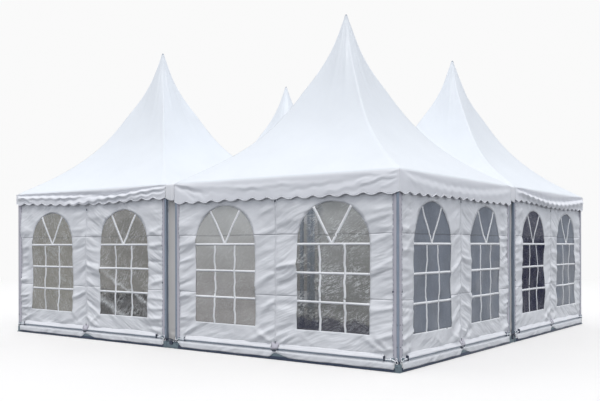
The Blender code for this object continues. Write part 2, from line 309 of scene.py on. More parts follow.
class Crease:
    """A sharp line left by folding the sheet for storage, wandering a little in height."""

    def __init__(self, level, depth, width, wander, phase):
        self.level, self.depth, self.width = level, depth, width
        self.wander, self.phase = wander, phase

    def at(self, x, z):
        level = self.level + self.wander * np.sin(2.3 * x + self.phase)
        fade = 0.75 + 0.25 * np.sin(3.1 * x + 2 * self.phase)
        return -self.depth * fade * np.exp(-np.abs(z - level) / self.width)


class Billow:
    """Broad uneven swelling of a sheet."""

    def __init__(self, rnd, height, waves=6, shortest=0.45):
        self.waves = []
        for _ in range(waves):
            length = rnd.uniform(shortest, 3 * shortest)
            angle = rnd.uniform(0, math.pi)
            pull = 2 * math.pi / length
            phase = rnd.uniform(0, 6.28)
            self.waves.append((pull * math.cos(angle), pull * math.sin(angle), phase))
        self.height = height / math.sqrt(waves)

    def at(self, x, z):
        return self.height * sum(np.sin(a * x + b * z + c) for a, b, c in self.waves)


def wall_folds(seed, lean, chevron, strength):
    """Folds of one module's wall: from the posts, beside the zip and under the windows."""
    rnd = random.Random(seed)
    folds = [Billow(rnd, 0.0075 * strength)]
    for start, way in ((0.0, 1), (SPAN, -1)):
        level = 0.32
        while level < 2.4:
            angle = math.radians(lean + rnd.uniform(-12, 12))
            if way < 0:
                angle += math.pi
            height = strength * rnd.choice((1, 1, -0.8)) * rnd.uniform(0.007, 0.017)
            folds.append(
                Fold((start - 0.004 * way, level), angle, rnd.uniform(0.3, 0.65),
                     rnd.uniform(0.018, 0.045), height, rnd.uniform(-0.25, 0.25), rnd.random() < 0.25)
            )
            level += rnd.uniform(0.08, 0.19)
    for way in (1, -1):
        level = 0.4 if way > 0 else 0.46
        while level < 2.3:
            droop = -chevron * (1.0 if level < 1.6 else 0.3)
            for size in (1.0, 0.45):
                tilt = droop * rnd.uniform(0.5, 1.4) + lean * way
                angle = math.radians(tilt) if way > 0 else math.pi - math.radians(tilt)
                near_middle = 1.15 if level < 1.5 else 0.6
                height = strength * size * near_middle * rnd.choice((1, 1, -0.9))
                height *= rnd.uniform(0.012, 0.02)
                at = level if size == 1.0 else level + rnd.uniform(0.08, 0.2)
                folds.append(
                    Fold((ZIP_AT + 0.004 * way, at), angle, size * rnd.uniform(0.45, 0.8),
                         rnd.uniform(0.03, 0.062) * (0.5 + size / 2), height, rnd.uniform(-0.3, 0.3),
                         size < 1.0 and rnd.random() < 0.5)
                )
            level += rnd.uniform(0.24, 0.42)
    for post, way in ((0.0, 1), (SPAN, -1), (ZIP_AT, -1), (ZIP_AT, 1)):
        for _ in range(3):
            tilt = rnd.uniform(20, 55)
            angle = math.radians(tilt) if way > 0 else math.pi - math.radians(tilt)
            folds.append(
                Fold((post + way * rnd.uniform(0.02, 0.12), 0.225), angle, rnd.uniform(0.3, 0.6),
                     rnd.uniform(0.02, 0.04), strength * rnd.choice((1, -0.8)) * rnd.uniform(0.008, 0.016),
                     rnd.uniform(-0.2, 0.2))
            )
    x = rnd.uniform(0.25, 0.5)
    while x < SPAN - 0.3:
        tilt = math.radians(rnd.uniform(14, 40))
        folds.append(
            Fold((x, 0.235), tilt if rnd.random() < 0.4 + 0.3 * (lean > 5) else math.pi - tilt,
                 rnd.uniform(0.25, 0.5), rnd.uniform(0.02, 0.034), strength * rnd.uniform(0.004, 0.009),
                 rnd.uniform(-0.2, 0.2))
        )
        x += rnd.uniform(0.3, 0.6)
    return folds


def storage_creases(seed):
    rnd = random.Random(seed)
    return [
        Crease(level + rnd.uniform(-0.012, 0.012), depth, 0.012, 0.005, rnd.uniform(0, 6))
        for level, depth in zip(CREASES, (0.0085, 0.008))
    ]


# Lean in degrees, droop of the folds from the zip, strength: by side and left or right module
WALL_CHARACTER = {
    (0, 0): (3, 34, 1.6), (0, 1): (20, 4, 1.55), (1, 0): (4, 28, 1.4), (1, 1): (6, 18, 1.2),
    (2, 0): (8, 14, 1.35), (2, 1): (-6, 24, 1.35), (3, 0): (10, 10, 1.25), (3, 1): (-4, 22, 1.45),
}
WALL_FOLDS = {
    key: wall_folds(101 + 7 * key[0] + 3 * key[1], *character)
    for key, character in WALL_CHARACTER.items()
}
WALL_CREASES = {key: storage_creases(151 + 7 * key[0] + 3 * key[1]) for key in WALL_CHARACTER}


def wall_offset(key, x, z, strength):
    """How far a module side's wall stands out at x (from its left post) and height z."""
    total = sum(fold.at(x, z) for fold in WALL_FOLDS[key]) * strength
    held = smooth(0.0, 0.03, x) * smooth(0.0, 0.03, SPAN - x) * smooth(0.19, 0.27, z)
    held = held * (1 - 0.75 * smooth(2.3, 2.48, z))
    total = (total + sum(crease.at(x, z) for crease in WALL_CREASES[key])) * held
    return np.where(z > 2.48, np.maximum(total, 0.0), total)


def on_wall(side, half, x, z, stand):
    """Points in the model's frame from places on a wall."""
    points = np.stack([left_post(half) + x, -(WALL_FACE + stand), z], axis=-1).reshape(-1, 3)
    return turned(points, side)


# Finishes

RAIN_GREY = (0.62, 0.63, 0.66)
DIRT = (0.42, 0.4, 0.38)
# Darker colour along the walls' storage creases: dirt caught in them and painted shade
CREASE_DIRT_AND_SHADE = (0.4, 0.4, 0.45)
# Dark colour along the films' storage crease: dirt caught in it and painted shade
FILM_CREASE_DIRT_AND_SHADE = (0.05, 0.05, 0.06)
# Light colour of the films' rubbed scuffs, also used for painted highlights of their wrinkles and for painted
# gleams
FILM_SCUFF_AND_HIGHLIGHT = (0.78, 0.79, 0.8)
# Painted reflection of the sky, that makes some films lighter towards their top
SKY_IN_FILM = (0.6, 0.6, 0.58)
THREADS = 150.0


def shader_of(name):
    material = bpy.data.materials.new(name)
    material.use_nodes = True
    return material, material.node_tree, material.node_tree.nodes["Principled BSDF"]


def node(tree, kind, values=None, **settings):
    """A node with its settings, and with numbers or links in its inputs."""
    made = tree.nodes.new(kind)
    for key, value in settings.items():
        setattr(made, key, value)
    for key, value in (values or {}).items():
        if isinstance(value, bpy.types.NodeSocket):
            tree.links.new(value, made.inputs[key])
        else:
            made.inputs[key].default_value = value
    return made


def result(tree, kind, values=None, **settings):
    """The first output of a new node."""
    return node(tree, kind, values, **settings).outputs[0]


def maths(tree, operation, *terms):
    return result(tree, "ShaderNodeMath", dict(enumerate(terms)), operation=operation)


def split(tree, vector):
    return node(tree, "ShaderNodeSeparateXYZ", {0: vector}).outputs


def mixed(tree, factor, first, second):
    values = {0: factor, 6: first, 7: second}
    return node(tree, "ShaderNodeMix", values, data_type="RGBA", blend_type="MIX").outputs[2]


def spread(tree, value, low, high, to_low=0.0, to_high=1.0):
    made = node(
        tree, "ShaderNodeMapRange",
        {"Value": value, "From Min": low, "From Max": high, "To Min": to_low, "To Max": to_high},
    )
    return made.outputs["Result"]


def noise(tree, vector, scale, detail=3.0, roughness=0.5, stretch=None):
    if stretch is not None:
        vector = result(tree, "ShaderNodeMapping", {"Vector": vector, "Scale": stretch})
    return node(
        tree, "ShaderNodeTexNoise",
        {"Vector": vector, "Scale": scale, "Detail": detail, "Roughness": roughness},
    ).outputs["Fac"]


def bumped(tree, height, strength, distance, normal=None, **settings):
    values = {"Strength": strength, "Distance": distance, "Height": height}
    if normal is not None:
        values["Normal"] = normal
    return result(tree, "ShaderNodeBump", values, **settings)


def rgba(colour, shade=1.0):
    return (*[c * shade for c in colour[:3]], 1.0)


def crease_lines(tree, where, levels):
    """1 along storage creases at the given heights, 0 away from them."""
    height = split(tree, where)[2]
    wander = maths(tree, "MULTIPLY", noise(tree, where, 1.7, 2.0), 0.04)
    level = maths(tree, "SUBTRACT", height, wander)
    total = None
    for at in levels:
        off = maths(tree, "ABSOLUTE", maths(tree, "SUBTRACT", level, at - 0.02))
        line = spread(tree, off, 0.0, 0.014, 1.0, 0.0)
        total = line if total is None else maths(tree, "MAXIMUM", total, line)
    return total


def woven(tree, flat):
    """Threads along and across the cloth."""
    warp, weft = [
        node(
            tree, "ShaderNodeTexWave", {"Vector": flat, "Scale": THREADS},
            wave_type="BANDS", bands_direction=way,
        ).outputs["Fac"]
        for way in ("X", "Y")
    ]
    return maths(tree, "MULTIPLY", warp, weft)


def tent_pulls(tree, flat, slant, mirrored):
    """Long soft pulls across a wall at a slant, mirrored at the zip or running one way."""
    parts = split(tree, flat)
    aside = maths(tree, "SUBTRACT", parts[0], ZIP_AT)
    if mirrored:
        aside = maths(tree, "ABSOLUTE", aside)
    bent = maths(tree, "MULTIPLY", noise(tree, flat, 1.1, 1.0), 0.3)
    high = maths(tree, "ADD", parts[1], bent)
    place = result(tree, "ShaderNodeCombineXYZ", {0: aside, 1: high})
    slanted = result(
        tree, "ShaderNodeMapping",
        {"Vector": place, "Rotation": (0.0, 0.0, math.radians(-slant))}, vector_type="POINT",
    )
    pulls = spread(tree, noise(tree, slanted, 1.0, 2.5, 0.5, (1.3, 7.0, 1.0)), 0.32, 0.68)
    shown = spread(tree, noise(tree, flat, 1.6, 2.0), 0.4, 0.6, 0.25, 1.0)
    return maths(tree, "MULTIPLY", pulls, shown)


def cloth_finish(
    name, colour, roughness, streaks, splash=0.0, wrinkles=0.0, creased=(), tents=None
):
    """Coated cloth: fine weave in its own UV map, wrinkles, rain streaks, splashes and creases."""
    material, tree, shader = shader_of(name)
    place = node(tree, "ShaderNodeTexCoord")
    where, flat = place.outputs["Object"], place.outputs["UV"]
    blotch = spread(tree, noise(tree, where, 1.3, 4.0), 0.35, 0.7)
    tone = mixed(tree, blotch, rgba(colour), rgba(colour, 0.965))
    rain = noise(tree, where, 2.0, 5.0, 0.6, (4.0, 4.0, 0.25))
    tone = mixed(tree, spread(tree, rain, 0.52, 0.75, 0.0, streaks), tone, rgba(RAIN_GREY))
    if splash:
        low = spread(tree, split(tree, where)[2], 0.05, 0.5, splash, 0.0)
        spots = spread(tree, noise(tree, where, 9.0, 6.0, 0.7), 0.42, 0.7)
        tone = mixed(tree, maths(tree, "MULTIPLY", low, spots), tone, rgba(DIRT))
    # Darker along the creases: dirt in them and painted shade where the fold turns from the light
    if creased:
        lines = crease_lines(tree, where, creased)
        tone = mixed(tree, maths(tree, "MULTIPLY", lines, 0.22), tone, rgba(CREASE_DIRT_AND_SHADE))
    tree.links.new(tone, shader.inputs["Base Color"])
    gloss = spread(tree, noise(tree, where, 5.0), 0.3, 0.7, roughness - 0.05, roughness + 0.07)
    tree.links.new(gloss, shader.inputs["Roughness"])
    shader.inputs["Specular IOR Level"].default_value = 0.4
    shader.inputs["Sheen Weight"].default_value = 0.06
    relief = bumped(tree, woven(tree, flat), 0.12, 0.0003)
    relief = bumped(tree, noise(tree, where, 7.0), 0.25, 0.004, relief)
    if wrinkles:
        soft = noise(tree, where, 2.6, 2.0, 0.45, (1.0, 1.0, 2.2))
        relief = bumped(tree, soft, wrinkles, 0.05, relief)
    if tents:
        relief = bumped(tree, tent_pulls(tree, flat, *tents), 0.55, 0.035, relief)
    if creased:
        relief = bumped(tree, lines, 1.0, 0.006, relief, invert=True)
    tree.links.new(relief, shader.inputs["Normal"])
    return material


def scuff_and_highlight_streaks(tree, flat, tilted, streaks):
    """Fine wandering light lines: partly scuffs that the film has from being rolled and rubbed, partly
    painted highlights of its wrinkles.
    """
    swirl = node(
        tree, "ShaderNodeTexNoise",
        {"Vector": tilted, "Scale": 1.3, "Detail": 6.0, "Roughness": 0.65, "Distortion": 0.9},
    ).outputs["Fac"]
    from_line = maths(tree, "ABSOLUTE", maths(tree, "SUBTRACT", swirl, 0.5))
    lines = spread(tree, from_line, 0.004, 0.026, 1.0, 0.0)
    shown = spread(tree, noise(tree, flat, 3.0, 4.0, 0.65), 0.38, 0.58, 0.0, streaks)
    return maths(tree, "MULTIPLY", lines, shown)


def gleam(tree, flat, tilted, across, up, offset, width):
    """Painted highlight: a bright ragged band in the lower film, along the line across * u + up * v = offset.
    """
    parts = split(tree, flat)
    over = maths(tree, "MULTIPLY", parts[0], across)
    off = maths(tree, "ADD", over, maths(tree, "MULTIPLY_ADD", parts[1], up, -offset))
    warp = maths(tree, "MULTIPLY_ADD", noise(tree, flat, 2.4, 5.0, 0.6), 0.34, -0.17)
    from_line = maths(tree, "ABSOLUTE", maths(tree, "ADD", off, warp))
    band = spread(tree, from_line, 0.0, width, 1.0, 0.0)
    fibres = spread(tree, noise(tree, tilted, 2.5, 4.0, 0.6), 0.35, 0.6, 0.25, 1.0)
    low = spread(tree, parts[1], 1.05, 1.3, 1.0, 0.0)
    return maths(tree, "MULTIPLY", maths(tree, "MULTIPLY", band, fibres), low)


def film_finish(
    name, colour, clear, streaks, speckle, lean, dark_low=None, lows=(), gleams=(), gloss=0.55,
    sky=0.0, seen_to=0.0,
):
    """Window film gone dull: partly see-through, glossy, with wrinkles, painted gleams and fine light streaks
    that are partly rubbed scuffs and partly painted highlights.

    dark_low is the height under which it is painted dark (in the colour lows), a painted shade for the dark
    inside seen through the film; sky how much lighter it gets towards its top, a painted reflection of the
    sky;
    and left of u = seen_to it is painted darker, a painted shade for the dark inside seen through, and above
    its foot it is also clearer.
    """
    material, tree, shader = shader_of(name)
    place = node(tree, "ShaderNodeTexCoord")
    where, flat = place.outputs["Object"], place.outputs["UV"]
    tilted = result(
        tree, "ShaderNodeMapping",
        {"Vector": flat, "Rotation": (0.0, 0.0, lean), "Scale": (0.055, 0.24, 1.0)},
        vector_type="TEXTURE",
    )
    scuffs_and_highlights = scuff_and_highlight_streaks(tree, flat, tilted, streaks)
    for band in gleams:
        scuffs_and_highlights = maths(tree, "MAXIMUM", scuffs_and_highlights, gleam(tree, flat, tilted, *band))
    patches = spread(tree, noise(tree, flat, 2.0), 0.35, 0.65)
    tone = mixed(tree, patches, rgba(colour), rgba(colour, 0.8))
    grains = spread(tree, noise(tree, flat, 45.0, 3.0, 0.7), 0.35, 0.65, 0.0, speckle)
    tone = mixed(tree, grains, tone, rgba(colour, 1.7))
    hazy = 1.0 - clear
    # Painted reflection of the sky: the film gets lighter towards its top
    if sky:
        lit = spread(tree, split(tree, where)[2], 0.9, 2.1, 0.0, sky)
        tone = mixed(tree, lit, tone, rgba(SKY_IN_FILM))
    # Painted shade: left of seen_to the film is darkened for the dark inside seen through it, and above its
    # foot it is made clearer
    if seen_to:
        parts = split(tree, flat)
        edge = maths(tree, "MULTIPLY_ADD", noise(tree, flat, 3.0, 4.0, 0.6), 0.2, parts[0])
        seen = spread(tree, edge, seen_to, seen_to + 0.16, 1.0, 0.0)
        tone = mixed(tree, seen, tone, rgba(colour, 0.62))
        above = spread(tree, parts[1], 0.62, 0.9)
        open_part = maths(tree, "MULTIPLY", seen, above)
        hazy = spread(tree, open_part, 0.0, 1.0, hazy, hazy / 2)
    # Painted shade: below dark_low the film is darkened to the colour lows, for the dark inside seen through
    # it
    if dark_low is not None:
        ragged = maths(tree, "MULTIPLY", noise(tree, flat, 7.0, 6.0, 0.7), 0.45)
        level = maths(tree, "SUBTRACT", split(tree, where)[2], ragged)
        dark = spread(tree, level, dark_low - 0.26, dark_low - 0.18, 0.92, 0.0)
        tone = mixed(tree, dark, tone, rgba(lows))
        if not gleams:
            calm = spread(tree, dark, 0.0, 1.0, 1.0, 0.35)
            scuffs_and_highlights = maths(tree, "MULTIPLY", scuffs_and_highlights, calm)
    # Darker along the crease: dirt in it and painted shade of the fold
    folded = maths(tree, "MULTIPLY", crease_lines(tree, where, CREASES[:1]), 0.5)
    tone = mixed(tree, folded, tone, rgba(FILM_CREASE_DIRT_AND_SHADE))
    # Lighter where the film is scuffed, and painted highlights along its wrinkles and gleams
    tone = mixed(tree, scuffs_and_highlights, tone, rgba(FILM_SCUFF_AND_HIGHLIGHT))
    tree.links.new(tone, shader.inputs["Base Color"])
    shader.inputs["Roughness"].default_value = 0.2
    shader.inputs["Specular IOR Level"].default_value = gloss
    shader.inputs["IOR"].default_value = 1.5
    tree.links.new(spread(tree, scuffs_and_highlights, 0.0, 1.0, hazy, 1.0), shader.inputs["Alpha"])
    broad = bumped(tree, noise(tree, flat, 5.0, 4.0, 0.6, (1.0, 0.6, 1.0)), 0.5, 0.02)
    relief = bumped(tree, noise(tree, tilted, 3.0, 6.0, 0.7), 0.35, 0.004, broad)
    tree.links.new(relief, shader.inputs["Normal"])
    return material


def metal_finish(name, colour, roughness, metallic, stretch=(30.0, 30.0, 1.2), worn=0.3):
    """Drawn or painted metal: long faint draw lines, dull patches and scuffs."""
    material, tree, shader = shader_of(name)
    where = node(tree, "ShaderNodeTexCoord").outputs["Object"]
    lines = noise(tree, where, 4.0, 4.0, 0.6, stretch)
    patches = noise(tree, where, 3.0, 5.0, 0.6)
    tone = mixed(tree, spread(tree, lines, 0.3, 0.7), rgba(colour, 0.9), rgba(colour, 1.1))
    scuffed = spread(tree, noise(tree, where, 22.0, 6.0, 0.7), 0.56, 0.72, 0.0, worn)
    tone = mixed(tree, scuffed, tone, rgba(colour, 0.62))
    tree.links.new(tone, shader.inputs["Base Color"])
    gloss = spread(tree, patches, 0.3, 0.7, roughness - 0.08, roughness + 0.1)
    tree.links.new(gloss, shader.inputs["Roughness"])
    shader.inputs["Metallic"].default_value = metallic
    tree.links.new(bumped(tree, lines, 0.1, 0.0006), shader.inputs["Normal"])
    return material


def window_finishes():
    """Films in the tones that the photograph shows, from brown to navy."""
    return {
        "film_brown": film_finish(
            "window_film_brown", (0.3, 0.285, 0.25), 0.3, 0.75, speckle=0.7, lean=0.5,
        ),
        "film_gleam": film_finish(
            "window_film_gleam", (0.27, 0.255, 0.225), 0.3, 0.75, speckle=0.6, lean=-0.7,
            dark_low=0.85, lows=(0.05, 0.047, 0.044),
            gleams=((0.4027, 0.9153, 2.058, 0.05), (0.447, 0.894, 1.7, 0.085)),
        ),
        "film_beige": film_finish(
            "window_film_beige", (0.385, 0.365, 0.35), 0.2, 0.35, speckle=0.4, lean=-0.9, sky=0.95,
        ),
        "film_grey": film_finish(
            "window_film_grey", (0.2, 0.2, 0.19), 0.22, 0.9, speckle=0.55, lean=-1.1,
            dark_low=0.62, lows=(0.014, 0.016, 0.045), sky=0.5, seen_to=2.68,
        ),
        "film_blue": film_finish(
            "window_film_blue", (0.25, 0.275, 0.325), 0.12, 0.12, speckle=0.15, lean=0.2, gloss=0.07,
        ),
        "film_navy": film_finish(
            "window_film_navy", (0.1, 0.1, 0.14), 0.1, 0.35, speckle=0.2, lean=1.4,
            dark_low=1.75, lows=(0.005, 0.008, 0.045), gloss=0.02,
        ),
    }


FINISHES = {}


def make_finishes(looks):
    """All finishes, made once from the colours of the panel."""
    if FINISHES:
        return FINISHES
    roof, valance, wall, hem, band, strip, bar, post, rail = (
        tuple(getattr(looks, f"{part}_colour"))
        for part in ("roof", "valance", "wall", "hem", "band", "strip", "bar", "post", "rail")
    )
    wall_wear = {"roughness": 0.5, "streaks": 0.1, "splash": 0.16, "wrinkles": 0.3, "creased": CREASES}
    FINISHES.update(
        roof=cloth_finish("coated_roof_cloth", roof, 0.45, 0.05),
        valance=cloth_finish("coated_valance_cloth", valance, 0.48, 0.06, wrinkles=0.1),
        wall=cloth_finish("coated_wall_cloth", wall, **wall_wear),
        wall_rising=cloth_finish("coated_wall_cloth_rising", wall, tents=(24, False), **wall_wear),
        wall_tented=cloth_finish("coated_wall_cloth_tented", wall, tents=(-28, True), **wall_wear),
        hem=cloth_finish("hem_sleeve_cloth", hem, 0.42, 0.05, 0.1, 0.15),
        strip=cloth_finish("closing_strip_cloth", strip, 0.55, 0.2, 0.2),
        band=cloth_finish("keder_edge_cloth", band, 0.55, 0.1),
        binding=cloth_finish("scallop_binding", (0.9, 0.9, 0.93), 0.45, 0.02),
        bar=cloth_finish("window_bar_strip", bar, 0.35, 0.02),
        **window_finishes(),
        steel=metal_finish("galvanised_post", post, 0.42, 0.75),
        rail=metal_finish("ground_rail_paint", rail, 0.5, 0.35, (1.2, 1.2, 30.0), 0.5),
        foot=metal_finish("foot_casting", (0.17, 0.22, 0.25), 0.5, 0.6, (8.0, 8.0, 8.0)),
        bright=metal_finish("bright_hook_steel", (0.72, 0.74, 0.77), 0.25, 1.0, (12.0, 12.0, 12.0), 0.1),
        dark=metal_finish("dark_clamp_steel", (0.05, 0.06, 0.09), 0.45, 0.5, (8.0, 8.0, 8.0)),
        thread=metal_finish("seam_thread", (0.2, 0.2, 0.26), 0.8, 0.0, (20.0, 20.0, 20.0), 0.0),
        teeth=metal_finish("zip_teeth", (0.74, 0.74, 0.78), 0.5, 0.0, (20.0, 20.0, 20.0), 0.0),
    )
    return FINISHES


# Geometry Nodes

class Term:
    """A number in a node tree, with the sums of a formula written as usual."""

    def __init__(self, tree, socket):
        self.tree = tree
        self.socket = socket

    def sum(self, operation, *others):
        others = [other.socket if isinstance(other, Term) else other for other in others]
        return Term(self.tree, maths(self.tree, operation, self.socket, *others))

    def __add__(self, other):
        return self.sum("ADD", other)

    def __mul__(self, other):
        return self.sum("MULTIPLY", other)

    def __sub__(self, other):
        return self.sum("SUBTRACT", other)

    def __truediv__(self, other):
        return self.sum("DIVIDE", other)

    def __pow__(self, other):
        return self.sum("POWER", other)

    def less_from(self, whole):
        return (self * -1.0) + whole


def new_tree(name, inputs):
    """An empty node tree with named inputs, as (tree, their sockets, output node)."""
    tree = bpy.data.node_groups.new(name, "GeometryNodeTree")
    tree.interface.new_socket("Geometry", in_out="INPUT", socket_type="NodeSocketGeometry")
    for label, kind, value in inputs:
        socket = tree.interface.new_socket(label, in_out="INPUT", socket_type=f"NodeSocket{kind}")
        if value is not None:
            socket.default_value = value
    tree.interface.new_socket("Geometry", in_out="OUTPUT", socket_type="NodeSocketGeometry")
    return tree, tree.nodes.new("NodeGroupInput").outputs, tree.nodes.new("NodeGroupOutput")


def finish_tree(tree, given, out, geometry):
    """Ends a tree with real geometry that has its material."""
    real = result(tree, "GeometryNodeRealizeInstances", {"Geometry": geometry})
    painted = result(
        tree, "GeometryNodeSetMaterial", {"Geometry": real, "Material": given["Material"]}
    )
    tree.links.new(painted, out.inputs[0])
    return tree


def canopy_tree():
    """Swept pyramid skin over a square, from its eave to the ring under the peak."""
    tree, given, out = new_tree("pagoda_canopy", [
        ("Half Width", "Float", CANOPY_HALF), ("Eave Level", "Float", EAVE_TOP),
        ("Rise", "Float", PEAK - EAVE_TOP), ("Straight Share", "Float", 0.45),
        ("Curve Power", "Float", 3.4), ("Side Hollow", "Float", 0.05), ("Top Part", "Float", 0.98),
        ("Ring Margin", "Float", 0.013), ("Around", "Int", 44), ("Rows", "Int", 52),
        ("Middle", "Vector", (MODULE_CENTRE, -MODULE_CENTRE, 0.0)), ("Material", "Material", None),
    ])

    def value(label):
        return Term(tree, given[label])

    columns = value("Around") * 4.0 + 1.0
    grid = result(
        tree, "GeometryNodeMeshGrid",
        {"Size X": 4.0, "Size Y": 1.0, "Vertices X": columns.socket, "Vertices Y": given["Rows"]},
    )
    place = split(tree, result(tree, "GeometryNodeInputPosition"))
    around = Term(tree, place[0]) + 2.00001
    side = around.sum("FLOOR")
    along = (around - side) * 2.0 - 1.00002
    left = (Term(tree, place[1]) + 0.5).less_from(1.0)
    part = (left ** 1.25).less_from(1.0) * value("Top Part")
    half = part.less_from(1.0) * value("Half Width")
    curve = (part ** value("Curve Power")) * (value("Straight Share").less_from(1.0))
    level = (part * value("Straight Share") + curve) * value("Rise") + value("Eave Level")
    hollow = (part * math.pi).sum("SINE") * value("Side Hollow")
    reach = half * ((along * along).less_from(1.0) * hollow).less_from(1.0)
    across = along * half
    rounding = result(
        tree, "ShaderNodeMapRange",
        {"Value": part.socket, "From Min": 0.74, "From Max": given["Top Part"]},
        interpolation_type="SMOOTHSTEP",
    )
    span = (across * across + reach * reach).sum("SQRT")
    target = half * 1.06 + value("Ring Margin")
    scale = (target / span - 1.0) * Term(tree, rounding) + 1.0
    point = result(
        tree, "ShaderNodeCombineXYZ",
        {0: (across * scale).socket, 1: (reach * scale * -1.0).socket, 2: level.socket},
    )
    spun = result(
        tree, "ShaderNodeVectorRotate",
        {"Vector": point, "Angle": (side * (math.pi / 2)).socket}, rotation_type="Z_AXIS",
    )
    placed = result(tree, "ShaderNodeVectorMath", {0: spun, 1: given["Middle"]}, operation="ADD")
    shaped = result(tree, "GeometryNodeSetPosition", {"Geometry": grid, "Position": placed})
    closed = result(tree, "GeometryNodeMergeByDistance", {"Geometry": shaped, "Distance": 0.0005})
    soft = result(tree, "GeometryNodeSetShadeSmooth", {"Geometry": closed})
    return finish_tree(tree, given, out, soft)


def run_tree():
    """Small blocks set at an even pitch along each path, such as stitches and zip teeth."""
    tree, given, out = new_tree("blocks_along_path", [
        ("Pitch", "Float", 0.065), ("Size", "Vector", (0.003, 0.002, 0.014)),
        ("Facing", "Vector", (0, -1, 0)), ("Stagger", "Float", 0.0), ("Material", "Material", None),
    ])
    path = result(tree, "GeometryNodeMeshToCurve", {0: given["Geometry"]})
    stops = result(
        tree, "GeometryNodeResampleCurve", {"Curve": path, "Length": given["Pitch"]}, mode="LENGTH"
    )
    tangent = result(tree, "GeometryNodeInputTangent")
    upright = result(tree, "FunctionNodeAlignRotationToVector", {"Vector": tangent}, axis="Z")
    facing = result(
        tree, "FunctionNodeAlignRotationToVector",
        {"Rotation": upright, "Vector": given["Facing"]}, axis="Y", pivot_axis="Z",
    )
    block = result(tree, "GeometryNodeMeshCube", {"Size": given["Size"]})
    copies = result(
        tree, "GeometryNodeInstanceOnPoints",
        {"Points": stops, "Instance": block, "Rotation": facing},
    )
    odd = Term(tree, result(tree, "GeometryNodeInputIndex")).sum("MODULO", 2.0) - 0.5
    aside = result(tree, "ShaderNodeCombineXYZ", {0: (odd * Term(tree, given["Stagger"])).socket})
    shifted = result(
        tree, "GeometryNodeTranslateInstances", {"Instances": copies, "Translation": aside}
    )
    return finish_tree(tree, given, out, shifted)


def cord_tree():
    """Round binding swept along each path."""
    tree, given, out = new_tree("binding_along_path", [
        ("Radius", "Float", 0.005), ("Sides", "Int", 6), ("Material", "Material", None),
    ])
    path = result(tree, "GeometryNodeMeshToCurve", {0: given["Geometry"]})
    ring = result(
        tree, "GeometryNodeCurvePrimitiveCircle",
        {"Resolution": given["Sides"], "Radius": given["Radius"]},
    )
    swept = result(
        tree, "GeometryNodeCurveToMesh", {"Curve": path, "Profile Curve": ring, "Fill Caps": True}
    )
    soft = result(tree, "GeometryNodeSetShadeSmooth", {"Geometry": swept})
    return finish_tree(tree, given, out, soft)


def bolt_tree():
    """Round heads, one on each point, that stand out along the point's normal."""
    tree, given, out = new_tree("heads_on_points", [
        ("Radius", "Float", 0.008), ("Height", "Float", 0.006), ("Sides", "Int", 10),
        ("Material", "Material", None),
    ])
    top = maths(tree, "MULTIPLY", given["Radius"], 0.7)
    head = result(
        tree, "GeometryNodeMeshCone",
        {
            "Vertices": given["Sides"], "Radius Top": top, "Radius Bottom": given["Radius"],
            "Depth": given["Height"],
        },
    )
    outward = result(
        tree, "GeometryNodeInputNamedAttribute", {"Name": "outward"}, data_type="FLOAT_VECTOR"
    )
    turn = result(tree, "FunctionNodeAlignRotationToVector", {"Vector": outward}, axis="Z")
    points = result(tree, "GeometryNodeMeshToPoints", {"Mesh": given["Geometry"]})
    copies = result(
        tree, "GeometryNodeInstanceOnPoints", {"Points": points, "Instance": head, "Rotation": turn}
    )
    return finish_tree(tree, given, out, copies)


TREES = {}


def grown(name, mesh, maker, **inputs):
    """A plain mesh grown by a node tree from a starting mesh."""
    if maker not in TREES:
        TREES[maker] = maker()
    tree = TREES[maker]
    thing = bpy.data.objects.new(name, mesh)
    bpy.context.scene.collection.objects.link(thing)
    grow = thing.modifiers.new("grow", "NODES")
    grow.node_group = tree
    sockets = {
        item.name: item.identifier for item in tree.interface.items_tree if item.in_out == "INPUT"
    }
    for label, value in inputs.items():
        grow[sockets[label]] = value
    made = plain_mesh(thing)
    bpy.data.objects.remove(thing)
    return made


def grown_piece(name, mesh, maker, slot, finish, **inputs):
    """A piece of one finish that a node tree grows from a starting mesh."""
    made = grown(name, mesh, maker, Material=finish, **inputs)
    made.materials.clear()
    return piece(name, made, slot, finish)


def path_mesh(name, paths):
    """Edges only: each path as a run of points."""
    points, edges = [], []
    for path in paths:
        start = len(points)
        points.extend(map(tuple, path))
        edges.extend((start + i, start + i + 1) for i in range(len(path) - 1))
    mesh = bpy.data.meshes.new(name)
    mesh.from_pydata(points, edges, [])
    return mesh


def point_mesh(name, places):
    """Loose points with the way that each one faces."""
    mesh = bpy.data.meshes.new(name)
    mesh.from_pydata([tuple(p) for p, _ in places], [], [])
    mesh.attributes.new("outward", "FLOAT_VECTOR", "POINT")
    ways = np.array([tuple(w) for _, w in places], dtype=np.float32)
    mesh.attributes["outward"].data.foreach_set("vector", ways.ravel())
    return mesh


# Settings

def colour_setting(name, description, value):
    return bpy.props.FloatVectorProperty(
        name=name, description=description, default=value, size=3, min=0.0, max=1.0, subtype="COLOR"
    )


def length_setting(name, description, value):
    return bpy.props.FloatProperty(
        name=name, description=description, default=value, min=0.0,
        subtype="DISTANCE", unit="LENGTH", precision=4,
    )


